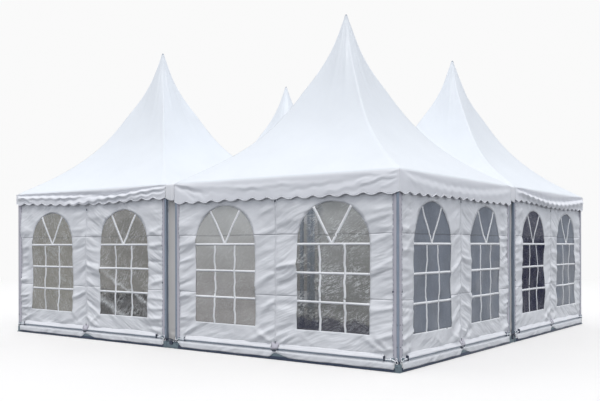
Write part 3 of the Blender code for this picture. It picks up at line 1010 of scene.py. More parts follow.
class MarqueeLooks(bpy.types.PropertyGroup):
    """Colours of the marquee."""

    roof_colour: colour_setting("Roof cloth", "Colour of the roof skins", (0.83, 0.86, 0.9))
    valance_colour: colour_setting(
        "Valance cloth", "Colour of the scalloped valances", (0.885, 0.89, 0.93)
    )
    wall_colour: colour_setting("Wall cloth", "Colour of the side walls", (0.835, 0.84, 0.87))
    hem_colour: colour_setting("Hem", "Colour of the sleeves round the hem bars", (0.83, 0.835, 0.87))
    band_colour: colour_setting("Edge band", "Colour of the bands beside the posts", (0.56, 0.54, 0.6))
    strip_colour: colour_setting(
        "Closing strip", "Colour of the strips between the post pairs", (0.6, 0.575, 0.555)
    )
    bar_colour: colour_setting(
        "Window bars", "Colour of the strips welded on the films", (0.95, 0.95, 0.97)
    )
    post_colour: colour_setting("Posts", "Colour of the galvanised posts", (0.24, 0.285, 0.35))
    rail_colour: colour_setting("Ground rails", "Colour of the painted ground rails", (0.045, 0.06, 0.1))


class MarqueeSizes(bpy.types.PropertyGroup):
    """Sizes of what the cloth and its seams are made of."""

    cloth: length_setting("Cloth thickness", "Thickness of the coated cloth with its coats", 0.002)
    film: length_setting("Film thickness", "Thickness of the window film", 0.0012)
    bar_width: length_setting("Bar width", "Width of the strips on the windows", 0.034)
    scallop: length_setting("Scallop depth", "Half the height of a scallop", 0.017)
    binding: length_setting("Binding radius", "Radius of the binding along the scallops", 0.0055)
    stitch_pitch: length_setting("Stitch pitch", "Distance between stitches of the edge bands", 0.065)
    tooth_pitch: length_setting("Tooth pitch", "Distance between the teeth of the zips", 0.012)
    folds: bpy.props.FloatProperty(
        name="Fold strength", description="How deep the folds of the walls are",
        default=1.0, min=0.0, max=2.0,
    )


def ready(context):
    """The finishes and the sizes that the panel gives."""
    return make_finishes(context.scene.marquee_looks), context.scene.marquee_sizes


# Roofs

CAP_NECK = 5.43
# Radius and height of each ring that the skin runs through under the cap
CAP_RINGS = (
    (0.0515, CAP_BASE + 0.006), (0.0425, 5.366), (0.0335, 5.4), (0.026, CAP_NECK), (0.0262, 5.436),
)
EAVE_TURN_DOWN = 0.007


def canopy_ripples(points):
    """How far the skin stands out at each point: pleats under the peak, corner pulls, soft waves."""
    rnd = random.Random(11)
    local = points - np.array([MODULE_CENTRE, -MODULE_CENTRE, 0.0])
    angle = np.arctan2(local[:, 1], local[:, 0])
    part = 1 - np.abs(local[:, :2]).max(axis=1) / CANOPY_HALF
    lift = np.zeros(len(points))
    for count, height in ((9, 0.5), (14, 0.6), (23, 0.4), (31, 0.25)):
        phase = rnd.uniform(0, 6.28)
        lift += height * np.sin(count * angle + phase + 0.8 * part)
    lift *= 0.0038 * smooth(0.55, 0.9, part) * (1 - 0.6 * smooth(0.93, 1.0, part))
    corner_way = np.abs((angle + math.pi / 4) % (math.pi / 2) - math.pi / 4)
    hip = math.pi / 4 - corner_way
    radius = np.hypot(local[:, 0], local[:, 1])
    off_hip = np.sin(hip) * radius
    lift += 0.0022 * (1 - smooth(0.018, 0.03, off_hip)) * (1 - smooth(0.88, 0.96, part))
    for side in range(4):
        spin = side * math.pi / 2
        x = local[:, 0] * math.cos(spin) + local[:, 1] * math.sin(spin)
        y = -local[:, 0] * math.sin(spin) + local[:, 1] * math.cos(spin)
        inside = -y > np.abs(x) - 0.02
        for corner in (-1, 1):
            for _ in range(5):
                way = math.radians(rnd.uniform(6, 40))
                length = rnd.uniform(0.6, 1.5)
                width, height = rnd.uniform(0.03, 0.06), rnd.uniform(-0.004, 0.006)
                fold = Fold((0.0, 0.0), way, length, width, height)
                pull = fold.at(CANOPY_HALF - corner * x, CANOPY_HALF + y)
                lift += np.where(inside, pull, 0.0)
    billow = Billow(rnd, 0.009, 7, 0.8).at(local[:, 0], local[:, 1])
    lift += billow * smooth(0.03, 0.25, part) * (1 - smooth(0.75, 0.95, part))
    return lift * smooth(0.0, 0.04, part)


def vectors_of(items, key):
    values = np.empty(len(items) * 3, dtype=np.float32)
    items.foreach_get(key, values)
    return values.reshape(-1, 3).astype(float)


def canopy_mesh(finish):
    """The rippled skin of module front_right, gathered to the cap and turned down at the eave."""
    mesh = grown("canopy", bpy.data.meshes.new("canopy_start"), canopy_tree, Material=finish)
    points = vectors_of(mesh.vertices, "co")
    points += vectors_of(mesh.vertex_normals, "vector") * canopy_ripples(points)[:, None]
    mesh.vertices.foreach_set("co", points.astype(np.float32).ravel())
    mesh.update()
    bm = bmesh.new()
    bm.from_mesh(mesh)
    middle = Vector((MODULE_CENTRE, -MODULE_CENTRE, 0.0))
    edges = [e for e in bm.edges if e.is_boundary and e.verts[0].co.z > CAP_BASE - 0.1]
    for radius, level in CAP_RINGS:
        made = bmesh.ops.extrude_edge_only(bm, edges=edges)
        edges = [e for e in made["geom"] if isinstance(e, bmesh.types.BMEdge)]
        for vert in [v for v in made["geom"] if isinstance(v, bmesh.types.BMVert)]:
            way = vert.co - middle
            angle = math.atan2(way.y, way.x)
            pleat = 1 + 0.035 * math.sin(12 * angle) * (1 if level < CAP_NECK else 0)
            reach = radius * pleat
            vert.co = middle + Vector((math.cos(angle) * reach, math.sin(angle) * reach, level))
    edges = [e for e in bm.edges if e.is_boundary and e.verts[0].co.z < EAVE_TOP + 0.1]
    made = bmesh.ops.extrude_edge_only(bm, edges=edges)
    for vert in [v for v in made["geom"] if isinstance(v, bmesh.types.BMVert)]:
        vert.co.z -= EAVE_TURN_DOWN
    layer = bm.loops.layers.uv.new("UVMap")
    for face in bm.faces:
        face.smooth = True
        out_way = face.calc_center_median() - middle
        turn = round(math.atan2(out_way.y, out_way.x) / (math.pi / 2))
        for loop in face.loops:
            way = loop.vert.co - middle
            across = way.y if turn % 2 == 0 else way.x
            out = abs(way.x) if turn % 2 == 0 else abs(way.y)
            loop[layer].uv = (across, math.hypot(out, way.z))
    bm.to_mesh(mesh)
    bm.free()
    return mesh


class MARQUEE_OT_canopies(bpy.types.Operator):
    """Swept roof skin of each module, gathered under its cap"""

    bl_idname = "marquee.canopies"
    bl_label = "Roof skins"

    def execute(self, context):
        finishes, sizes = ready(context)
        finish = finishes["roof"]
        start = canopy_mesh(finish)
        for quarter, corner in enumerate(QUARTERS):
            mesh = start.copy()
            mesh.transform(Matrix.Rotation(quarter * math.pi / 2, 4, "Z"))
            mesh.materials.clear()
            thing = piece(f"canopy_{corner}", mesh, "roof_cloth", finish)
            thickened(thing, sizes.cloth)
            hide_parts(f"roof_{corner}")
        return {"FINISHED"}


# Valances

class Swag:
    """A fold that hangs between two points of a valance, in parts along and down."""

    def __init__(self, start, end, sag, width, height):
        self.start, self.end = start, end
        self.sag, self.width, self.height = sag, width, height

    def at(self, along, down):
        part = np.clip((along - self.start[0]) / (self.end[0] - self.start[0]), 0, 1)
        line = self.start[1] + (self.end[1] - self.start[1]) * part + self.sag * 4 * part * (1 - part)
        inside = smooth(0.0, 0.08, part) * (1 - smooth(0.92, 1.0, part))
        if self.start[0] <= 0.02:
            inside = 1 - smooth(0.92, 1.0, part)
        if self.end[0] >= 0.98:
            inside = smooth(0.0, 0.08, part)
        return self.height * inside * np.exp(-(((down - line) / self.width) ** 2))


def valance_folds(seed, wrinkled):
    rnd = random.Random(seed)
    folds = []
    for start in (0.0, 1.0):
        for _ in range(5):
            reach = rnd.uniform(0.06, 0.2)
            end = start + reach * (1 if start < 0.5 else -1)
            pair = sorted(((start, rnd.uniform(0.02, 0.12)), (end, rnd.uniform(0.3, 0.95))))
            folds.append(
                Swag(*pair, rnd.uniform(-0.05, 0.1), rnd.uniform(0.05, 0.1),
                     wrinkled * rnd.uniform(-0.006, 0.008))
            )
    for _ in range(7):
        start = rnd.uniform(0.0, 0.7)
        end = start + rnd.uniform(0.15, 0.3)
        folds.append(
            Swag((start, rnd.uniform(0.15, 0.8)), (end, rnd.uniform(0.15, 0.8)), rnd.uniform(-0.05, 0.12),
                 rnd.uniform(0.05, 0.11), wrinkled * rnd.choice((1, -1)) * rnd.uniform(0.0015, 0.004))
        )
    return folds


VALANCE_FOLDS = {
    (side, half): valance_folds(301 + 5 * side + half, 0.35 if side == 1 else 1.35)
    for side in range(4) for half in range(2)
}
# Larger folds of the legs that show, on top of the random ones
VALANCE_FOLDS[0, 0] += [
    Swag((0.0, 0.12), (0.8, 0.42), 0.02, 0.12, -0.032), Swag((0.0, 0.4), (0.9, 0.72), 0.0, 0.11, 0.02),
    Swag((0.3, 0.66), (1.0, 0.08), 0.08, 0.1, -0.03), Swag((0.35, 1.0), (1.0, 0.24), 0.06, 0.09, 0.02),
    Swag((0.5, 0.95), (1.0, 0.42), 0.05, 0.07, -0.012), Swag((0.6, 1.1), (1.0, 0.6), 0.04, 0.08, 0.01),
]
VALANCE_FOLDS[0, 1] += [
    Swag((0.0, 0.06), (0.17, 0.75), 0.0, 0.09, -0.008), Swag((0.0, 0.1), (0.5, 0.55), 0.0, 0.08, 0.006),
    Swag((0.55, 0.7), (1.0, 0.1), 0.05, 0.08, -0.007), Swag((0.7, 0.85), (1.0, 0.22), 0.05, 0.08, 0.008),
    Swag((0.78, 0.25), (0.98, 0.22), 0.03, 0.05, -0.005), Swag((0.88, 0.55), (1.0, 0.36), 0.0, 0.045, -0.008),
    Swag((0.9, 0.16), (1.0, 0.36), 0.0, 0.045, 0.008), Swag((0.93, 0.8), (1.0, 0.4), 0.0, 0.05, 0.009),
]
VALANCE_FOLDS[1, 0] += [
    Swag((0.0, 0.03), (1.0, 0.08), 0.42, 0.16, -0.007), Swag((0.0, 0.3), (1.0, 0.34), 0.42, 0.18, 0.007),
]
VALANCE_FOLDS[1, 1] += [
    Swag((0.0, 0.04), (1.0, 0.08), 0.45, 0.15, -0.042), Swag((0.0, 0.3), (1.0, 0.34), 0.45, 0.17, 0.04),
]
# How far the hem of each leg is drawn up at its left end, middle and right end
HEM_LIFT = {
    (0, 0): (0.11, 0.05, 0.08), (0, 1): (0.0, -0.004, 0.0),
    (1, 0): (0.0, 0.004, 0.0), (1, 1): (0.08, 0.025, 0.03),
    (2, 0): (0.03, 0.0, 0.02), (2, 1): (0.01, 0.0, 0.02),
    (3, 0): (0.02, 0.0, 0.05), (3, 1): (0.02, 0.03, 0.11),
}

# Parts of the way down, closest together under the seam at the eave
VALANCE_ROWS = (
    0.0, 0.012, 0.03, 0.06, 0.11, 0.17, 0.24, 0.31, 0.38,
    0.45, 0.52, 0.59, 0.66, 0.73, 0.8, 0.87, 0.94, 1.0,
)
SCALLOP_STEPS = 12
LEG_STEPS = SCALLOPS * SCALLOP_STEPS
VALANCE_TOP = EAVE_TOP + 0.0005


def valance_leg(side, half, depth):
    """Points of one straight leg of a valance, in rows from hem to eave."""
    along = np.linspace(0.0, 1.0, LEG_STEPS + 1)
    start = -HALF if half == 0 else NEAR
    wave = 0.5 + 0.5 * np.cos(2 * math.pi * SCALLOPS * along)
    droop = 0.006 * np.sin(3.0 * along + side) - 0.004 * np.sin(11 * along + half)
    droop *= smooth(0.0, 0.05, along) * (1 - smooth(0.95, 1.0, along))
    first, middle, last = HEM_LIFT[side, half]
    droop += first * (1 - smooth(0.0, 0.5, along)) + last * smooth(0.5, 1.0, along)
    droop += middle * (1 - np.abs(2 * along - 1)) ** 0.8
    hem = VALANCE_LOW - depth + 2 * depth * wave ** 1.35 + droop
    rows = []
    corner_end = smooth(0.0, 0.012, along) if half == 0 else 1 - smooth(0.988, 1.0, along)
    free = 0.35 + 0.65 * smooth(0.0, 0.03, along) * (1 - smooth(0.97, 1.0, along))
    for down in reversed(VALANCE_ROWS):
        level = VALANCE_TOP - (VALANCE_TOP - hem) * down
        stand = sum(fold.at(along, down) for fold in VALANCE_FOLDS[side, half])
        stand = stand + 0.009 * math.sin(math.pi * min(down * 0.62, 1.0)) + 0.004
        stand = stand * free * corner_end * float(smooth(0.0, 0.11, np.array(down)))
        edge = 0.006 * (1 - float(smooth(0.0, 0.03, np.array(down))))
        rows.append(np.stack([start + along * MODULE_SIDE, -(HALF + stand - edge), level], axis=-1))
    rows = np.array(rows)
    return turned(rows.reshape(-1, 3), side).reshape(rows.shape)


class MARQUEE_OT_valances(bpy.types.Operator):
    """Scalloped valance on the two outer eaves of each module, with its bound edge"""

    bl_idname = "marquee.valances"
    bl_label = "Valances"

    def execute(self, context):
        finishes, sizes = ready(context)
        for quarter, corner in enumerate(QUARTERS):
            first = valance_leg(quarter, 1, sizes.scallop)
            second = valance_leg((quarter + 1) % 4, 0, sizes.scallop)
            shared = (first[:, -1:] + second[:, :1]) / 2
            points = np.concatenate([first[:, :-1], shared, second[:, 1:]], axis=1)
            row_count, column_count = points.shape[:2]
            u = np.linspace(0.0, 2 * MODULE_SIDE, column_count)
            v = np.array(VALANCE_ROWS)[::-1] * VALANCE_DEPTH
            uvs = np.stack(np.broadcast_arrays(u[None, :], v[:, None]), axis=-1).reshape(-1, 2)
            patch = (points.reshape(-1, 3), grid_faces(row_count, column_count), uvs)
            thing = sheet_piece(
                f"valance_{corner}", [patch], "roof_cloth", finishes["valance"], sizes.cloth
            )
            away = turned_point((1.0, -1.0, 0.0), quarter) / math.sqrt(2)
            seam_line = points[:, LEG_STEPS] + away * 0.002
            binding = grown_piece(
                f"binding_{corner}", path_mesh("hem_path", [points[0], seam_line]), cord_tree,
                "roof_cloth", finishes["binding"], Radius=sizes.binding,
            )
            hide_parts(f"roof_{corner}")
        return {"FINISHED"}


# Walls

# Distances of the columns of points from a panel's edge, in to its window
MARGIN_STEPS = (0.0, 0.01, 0.03, 0.05, 0.08, 0.11, 0.14, 0.17, 0.2, 0.23, 0.26, 0.29, 0.32, 0.348)
PANEL_GAP = 0.0004
FILM_LAP = 0.014


class Patchwork:
    """Quads in (x, z) blocks that share the points where they meet."""

    def __init__(self):
        self.index = {}
        self.points = []
        self.faces = []

    def point(self, x, z):
        key = (round(x, 5), round(z, 5))
        if key not in self.index:
            self.index[key] = len(self.points)
            self.points.append(key)
        return self.index[key]

    def block(self, rows):
        numbers = [[self.point(x, z) for x, z in row] for row in rows]
        for low, high in zip(numbers, numbers[1:]):
            for column in range(len(low) - 1):
                face = (low[column], low[column + 1], high[column + 1], high[column])
                face = tuple(dict.fromkeys(face))
                if len(face) > 2:
                    self.faces.append(face)


def panel_columns(number):
    """Left edge, window middle and right edge of a panel, from its module's left post."""
    left = 0.0 if number % 2 else ZIP_AT
    right = ZIP_AT if number % 2 else SPAN
    return left + PANEL_GAP, (left + right) / 2, right - PANEL_GAP


def panel_patch(number):
    """Wall panel with its window hole, in (x, z)."""
    left, middle, right = panel_columns(number)
    margin = middle - WINDOW_RADIUS - left
    steps = [step * margin / MARGIN_STEPS[-1] if step > 0.05 else step for step in MARGIN_STEPS]
    steps[-1] = margin
    left_columns = [left + step for step in steps]
    right_columns = [right - step for step in reversed(steps)]
    window_columns = list(np.linspace(middle - WINDOW_RADIUS, middle + WINDOW_RADIUS, 43))
    columns = left_columns + window_columns[1:-1] + right_columns
    patch = Patchwork()
    lower = [NOTCH_TOP + step for step in (0.0, 0.009, 0.018, 0.028, 0.04, 0.06)]
    lower += list(np.linspace(NOTCH_TOP + 0.085, WINDOW_SILL, 14))
    patch.block([[(x, z) for x in columns] for z in lower])
    post_left, post_right = number % 2 == 1, number % 2 == 0
    skirt = [x for x in columns if not (post_left and x < left + NOTCH - 1e-6)
             and not (post_right and x > right - NOTCH + 1e-6)]
    patch.block([[(x, z) for x in skirt] for z in np.linspace(SKIRT_LOW, NOTCH_TOP, 6)])
    levels = np.linspace(WINDOW_SILL, WINDOW_SPRING, 62)
    patch.block([[(x, z) for x in left_columns] for z in levels])
    patch.block([[(x, z) for x in right_columns] for z in levels])
    outer = [(left, z) for z in np.linspace(WINDOW_SPRING, WALL_TOP, 29)[:-1]]
    outer += [(x, WALL_TOP) for x in np.linspace(left, right, 57)[:-1]]
    outer += [(right, z) for z in np.linspace(WALL_TOP, WINDOW_SPRING, 29)]
    inner = []
    for angle in [math.pi * (1 - step / (len(outer) - 1)) for step in range(len(outer))]:
        aside, up = WINDOW_RADIUS * math.cos(angle), WINDOW_RADIUS * math.sin(angle)
        inner.append((middle + aside, WINDOW_SPRING + up))
    rows = []
    for step in reversed(steps):
        part = 1 - step / margin
        rows.append([
            (a[0] + (b[0] - a[0]) * part, a[1] + (b[1] - a[1]) * part) for a, b in zip(inner, outer)
        ])
    patch.block(rows)
    return np.array(patch.points), patch.faces


def hanging_skirt(side, half, number, x, z):
    """Lower edge of a panel: laid over the rail, lifted at the zip and at the junction post."""
    from_zip = np.abs(x - ZIP_AT)
    lift = 0.06 * (1 - smooth(0.0, 0.3 if number == 2 else 0.11, from_zip))
    if half == 1 and number == 1:
        lift = lift + 0.062 * (1 - smooth(0.0, 0.1, x))
    lift = lift + 0.003 * np.sin(9 * x + side)
    lift = np.where(z > NOTCH_TOP, 0.0, lift)
    part = np.clip((NOTCH_TOP - z) / (NOTCH_TOP - SKIRT_LOW), 0.0, 1.0)
    moved = z + lift * part
    out = 0.031 * smooth(-0.038, 0.006, NOTCH_TOP - moved) + 0.002 * np.sin(5 * x + 2 * side) * part
    out = out * (1 - 0.3 * smooth(0.0, 0.06, lift) * part)
    return moved, out


def film_patch(number):
    """Film outline filled with quads, in (x, z)."""
    _, middle, _ = panel_columns(number)
    radius = WINDOW_RADIUS + FILM_LAP
    parts = np.linspace(-1.0, 1.0, 33)
    patch = Patchwork()
    patch.block([
        [(middle + radius * part, z) for part in parts]
        for z in np.linspace(WINDOW_SILL - FILM_LAP, WINDOW_SPRING, 36)
    ])
    rows = []
    for angle in [math.pi / 2 * step / 20 for step in range(21)]:
        reach, level = radius * math.cos(angle), WINDOW_SPRING + radius * math.sin(angle)
        rows.append([(middle + reach * part, level) for part in parts])
    patch.block(rows)
    return np.array(patch.points), patch.faces


# Sides and modules whose pulls all rise one way
RISING_WALLS = ((0, 1), (2, 0), (3, 0))

# Height and stand from the wall, from the foot of the sleeve to where it is sewn on
SLEEVE = (
    (0.1635, 0.0325), (0.1645, 0.0345), (0.172, 0.0335), (0.184, 0.028),
    (0.196, 0.018), (0.211, 0.0075), (0.229, 0.003),
)


def hem_sleeve(side, half, number):
    """The sleeve that holds the hem bar along one panel, as (points, faces, uvs)."""
    left, _, right = panel_columns(number)
    start = left + HEM_START if number % 2 else left + HEM_END
    end = right - HEM_END if number % 2 else right - HEM_START
    columns = np.linspace(start, end, 60)
    rnd = random.Random(500 + 11 * side + 5 * half + number)
    wave = Billow(rnd, 1.0, 5, 0.25)
    rows = []
    for order, (level, stand) in enumerate(SLEEVE):
        loose = order / (len(SLEEVE) - 1)
        rows.append(on_wall(
            side, half, columns, level + 0.006 * loose * wave.at(columns, level * 3),
            stand + 0.0012 * (1 + wave.at(columns, 1.0 + level * 5)) * (0.2 < loose < 0.95),
        ))
    points = np.concatenate(rows)
    uvs = [(x, level) for level, _ in SLEEVE for x in columns]
    return points, grid_faces(len(SLEEVE), len(columns)), uvs


def panel_name(side, half, number):
    return f"{SIDES[side]}_{2 * half + number}"


def each_panel():
    """Side, module, and left (1) or right (2) panel of it."""
    for side in range(4):
        for half in range(2):
            for number in (1, 2):
                yield side, half, number


class MARQUEE_OT_walls(bpy.types.Operator):
    """Wall panels with their window holes, folds, creases and hem sleeves"""

    bl_idname = "marquee.walls"
    bl_label = "Wall panels"

    def execute(self, context):
        finishes, sizes = ready(context)
        patches = {number: panel_patch(number) for number in (1, 2)}
        for side, half, number in each_panel():
            places, faces = patches[number]
            x, z = places[:, 0], places[:, 1]
            stand = wall_offset((side, half), x, z, sizes.folds)
            z, skirt = hanging_skirt(side, half, number, x, z)
            points = on_wall(side, half, x, z, stand + skirt)
            name = panel_name(side, half, number)
            kind = "wall_rising" if (side, half) in RISING_WALLS else "wall_tented"
            thing = sheet_piece(
                f"panel_{name}", [(points, faces, places)], "wall_cloth", finishes[kind], sizes.cloth
            )
            sleeve = sheet_piece(
                f"sleeve_{name}", [hem_sleeve(side, half, number)], "wall_cloth", finishes["hem"],
                sizes.cloth / 2,
            )
            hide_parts(f"wall_{name}")
        return {"FINISHED"}


# Windows

FILM_BY_PANEL = {
    "front_1": "film_brown", "front_2": "film_gleam", "front_3": "film_beige", "front_4": "film_grey",
    "right_1": "film_blue", "right_2": "film_blue", "right_3": "film_navy", "right_4": "film_blue",
    "back_1": "film_beige", "back_2": "film_grey", "back_3": "film_brown", "back_4": "film_beige",
    "left_1": "film_grey", "left_2": "film_beige", "left_3": "film_blue", "left_4": "film_brown",
}
BAR_LEVELS = (0.865, 1.27, WINDOW_SPRING)
BAR_END = 0.006
SLANTED_BARS = (4, 6)
FILM_BEHIND = 0.0045
BARS_BEHIND = 0.0025
BAR_LIFT = 0.0003


def bar_runs(number, seed):
    """Centre lines of a window's bars in (x, z): level ones, then a wavy upright and a slant a side."""
    _, middle, _ = panel_columns(number)
    rnd = random.Random(seed)
    reach = WINDOW_RADIUS + BAR_END
    columns = np.linspace(middle - reach, middle + reach, 33)
    runs = [[(x, level) for x in columns] for level in BAR_LEVELS]
    for way in (-1, 1):
        phase = rnd.uniform(0, 6.28)
        levels = np.linspace(WINDOW_SILL - BAR_END, WINDOW_SPRING, 61)
        wave = 0.005 * np.sin(6.5 * levels + phase) + 0.0055 * np.sin(22 * levels + 2 * phase)
        wave += 0.002 * np.sin(53 * levels)
        runs.append(list(zip(middle + way * 0.2 + wave, levels)))
        parts = np.linspace(0.0, 1.0, 20)
        runs.append([(middle + way * 0.302 * part, WINDOW_SPRING + 0.523 * part) for part in parts])
    return runs


def strip_patch(run, width):
    """Left and right edge of a strip along a run in (x, z), with faces."""
    run = np.array(run)
    way = np.gradient(run, axis=0)
    way /= np.linalg.norm(way, axis=1)[:, None]
    side_way = np.stack([-way[:, 1], way[:, 0]], axis=-1) * width / 2
    places = np.concatenate([run - side_way, run + side_way])
    count = len(run)
    faces = [(i, i + 1, count + i + 1, count + i) for i in range(count - 1)]
    return places, faces


class MARQUEE_OT_windows(bpy.types.Operator):
    """Clear film in each window, with the welded strips that divide it"""

    bl_idname = "marquee.windows"
    bl_label = "Windows"

    def execute(self, context):
        finishes, sizes = ready(context)
        patches = {number: film_patch(number) for number in (1, 2)}
        for side, half, number in each_panel():
            name = panel_name(side, half, number)
            seed = 13 * side + 7 * half + number
            slack = Billow(random.Random(700 + seed), 0.0025, 6, 0.2)

            def on_film(flat, behind):
                x, z = flat[:, 0], flat[:, 1]
                stand = wall_offset((side, half), x, z, sizes.folds) + slack.at(x, z)
                return on_wall(side, half, x, z, stand - behind)

            places, faces = patches[number]
            thing = sheet_piece(
                f"film_{name}", [(on_film(places, FILM_BEHIND), faces, places)], "window_film",
                finishes[FILM_BY_PANEL[name]], sizes.film,
            )
            strips = []
            for order, run in enumerate(bar_runs(number, 800 + seed)):
                wide = 1.2 if order in SLANTED_BARS else 1.0
                flat, strip_faces = strip_patch(run, sizes.bar_width * wide)
                behind = BARS_BEHIND - BAR_LIFT * (order % 3)
                strips.append((on_film(flat, behind), strip_faces, flat))
            bars = sheet_piece(
                f"bars_{name}", strips, "wall_cloth", finishes["bar"], sizes.cloth * 0.75
            )
            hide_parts(f"window_{name}")
        return {"FINISHED"}


# Zips and edge bands

ZIP_LOW = 0.24
ZIP_HIGH = 2.6
TAPE_EDGES = ((-0.015, -0.0015), (0.0015, 0.015))
TAPE_STAND = 0.001
TEETH_STAND = 0.0022
BAND_LOW = 0.114
BAND_HIGH = 2.6
CORNER_LAP = 0.054
JUNCTION_LAP = 0.022
LAP_STAND = 0.0108
# Distance from the post's edge and stand from the wall, where the band comes down from the post
BAND_FALL = ((-0.004, 0.0112), (0.006, 0.0095), (0.02, 0.003), (0.035, 0.0008))
SEAM_IN = 0.03
STITCH_STAND = 0.0034
EYELET_LEVEL = 1.05
EYELET_STAND = 0.0055


def zip_tape(side, half, edges, folds):
    """One tape of a zip, lying on the wall, as (points, faces, uvs)."""
    levels = np.linspace(ZIP_LOW, ZIP_HIGH, 70)
    columns = np.linspace(ZIP_AT + edges[0], ZIP_AT + edges[1], 3)
    grid_x, grid_z = np.meshgrid(columns, levels)
    x, z = grid_x.ravel(), grid_z.ravel()
    points = on_wall(side, half, x, z, wall_offset((side, half), x, z, folds) + TAPE_STAND)
    return points, grid_faces(len(levels), len(columns)), np.stack([x, z], axis=-1)


class MARQUEE_OT_zips(bpy.types.Operator):
    """Zip between the two panels of each module side: tapes, teeth and pull"""

    bl_idname = "marquee.zips"
    bl_label = "Zips"

    def execute(self, context):
        finishes, sizes = ready(context)
        for side, half, name in module_sides():
            sheet_piece(
                f"zip_tape_{name}", [zip_tape(side, half, edges, sizes.folds) for edges in TAPE_EDGES],
                "wall_cloth", finishes["wall"], sizes.cloth / 2, inward=False,
            )
            levels = np.linspace(ZIP_LOW + 0.005, ZIP_HIGH - 0.005, 90)
            at = np.full_like(levels, ZIP_AT)
            stand = wall_offset((side, half), at, levels, sizes.folds) + TEETH_STAND
            grown_piece(
                f"zip_teeth_{name}", path_mesh("zip_path", [on_wall(side, half, at, levels, stand)]),
                run_tree, "wall_cloth", finishes["teeth"], Pitch=sizes.tooth_pitch,
                Size=(0.006, 0.003, 0.0045), Facing=facing_of(side), Stagger=0.002,
            )
            pull = piece(
                f"zip_pull_{name}", self.pull(side, half, sizes.folds), "rail_metal", finishes["dark"]
            )
            pull.data.shade_smooth()
        return {"FINISHED"}

    def pull(self, side, half, folds):
        """Slider and ring at the foot of a zip, and a stop near its top."""
        bm = bmesh.new()
        middle = left_post(half) + ZIP_AT
        wall = -WALL_FACE
        add_block(
            bm, (middle - 0.006, wall - 0.009, 0.252), (middle + 0.006, wall - 0.002, 0.268), 0.002, side
        )
        ring = [
            (middle + 0.006 * math.cos(a), wall - 0.008, 0.238 + 0.013 * math.sin(a))
            for a in ring_angles(14)
        ]
        add_patch(bm, tube(ring, 0.0014, 6, closed=True), side)
        cloth = wall_offset((side, half), np.array([ZIP_AT]), np.array([2.3]), folds)
        top = wall - float(cloth[0])
        add_block(
            bm, (middle - 0.011, top - 0.007, 2.285), (middle + 0.011, top + 0.001, 2.318), 0.0025, side
        )
        return mesh_of(bm, "zip_pull")


class MARQUEE_OT_edge_bands(bpy.types.Operator):
    """Reinforced bands of the walls beside the posts, with stitches and eyelets"""

    bl_idname = "marquee.edge_bands"
    bl_label = "Edge bands"

    def execute(self, context):
        finishes, sizes = ready(context)
        for side, half, name in module_sides():
            bands, lines, heads = [], [], []
            first_lap = JUNCTION_LAP if half else CORNER_LAP
            for edge, way, lap in ((0.0, 1, first_lap), (SPAN, -1, JUNCTION_LAP)):
                bands.append(self.band(side, half, edge, way, lap, sizes.folds))
                levels = np.linspace(0.16, 2.58, 60)
                at = np.full_like(levels, edge + way * SEAM_IN)
                cloth = np.maximum(wall_offset((side, half), at, levels, sizes.folds), 0.0)
                lines.append(on_wall(side, half, at, levels, cloth + STITCH_STAND))
                spot = on_wall(side, half, at[:1], np.array([EYELET_LEVEL]), np.array([EYELET_STAND]))
                heads.append((spot[0], facing_of(side)))
            sheet_piece(
                f"edge_band_{name}", bands, "wall_cloth", finishes["band"], sizes.cloth * 0.6,
                inward=False,
            )
            grown_piece(
                f"stitches_{name}", path_mesh("stitch_path", lines), run_tree, "wall_cloth",
                finishes["thread"], Pitch=sizes.stitch_pitch, Size=(0.0055, 0.0025, 0.024),
                Facing=facing_of(side), Stagger=0.0,
            )
            grown_piece(
                f"eyelets_{name}", point_mesh("eyelet_points", heads), bolt_tree, "rail_metal",
                finishes["dark"], Radius=0.013, Height=0.006, Sides=16,
            )
        return {"FINISHED"}

    def band(self, side, half, edge, way, lap, folds):
        """Edge band that laps over the post, as (points, faces, uvs)."""
        levels = np.linspace(BAND_LOW, BAND_HIGH, 70)
        profile = np.array([(-lap, LAP_STAND), *BAND_FALL])
        order, grid_z = np.meshgrid(np.arange(len(profile)), levels)
        along, raised = profile[order.ravel()].T
        x, z = edge + way * along, grid_z.ravel()
        cloth = wall_offset((side, half), np.clip(x, 0.0, SPAN), z, folds)
        points = on_wall(side, half, x, z, np.maximum(cloth, 0.0) + raised)
        faces = grid_faces(len(levels), len(profile))
        if way < 0:
            faces = [face[::-1] for face in faces]
        return points, faces, np.stack([x, z], axis=-1)


# Gutter

GUTTER_END = 4.094
GUTTER_PARTS = (0.0, 0.3, 0.5, 0.65, 0.76, 0.84, 0.9, 0.94, 0.97, 0.99, 1.0)
FLAP_BEND = 2.63
FLAP_DROP = 0.245
# Height and distance from the middle, over the gutter's end and down
FLAP_TURN = ((2.638, 4.02), (2.647, 4.05), (2.6505, 4.08), (2.648, 4.092), (2.64, 4.098))
STRIP_HALF = 0.0965
STRIP_PLACE = 4.036
STRIP_LIMIT = 4.06


def gutter_level(x, y):
    """Height of the gutter cloth over the plan."""
    aside = min(abs(x), abs(y)) / GUTTER_HALF
    return GUTTER_FLOOR + (GUTTER_LIP - GUTTER_FLOOR) * aside ** 7


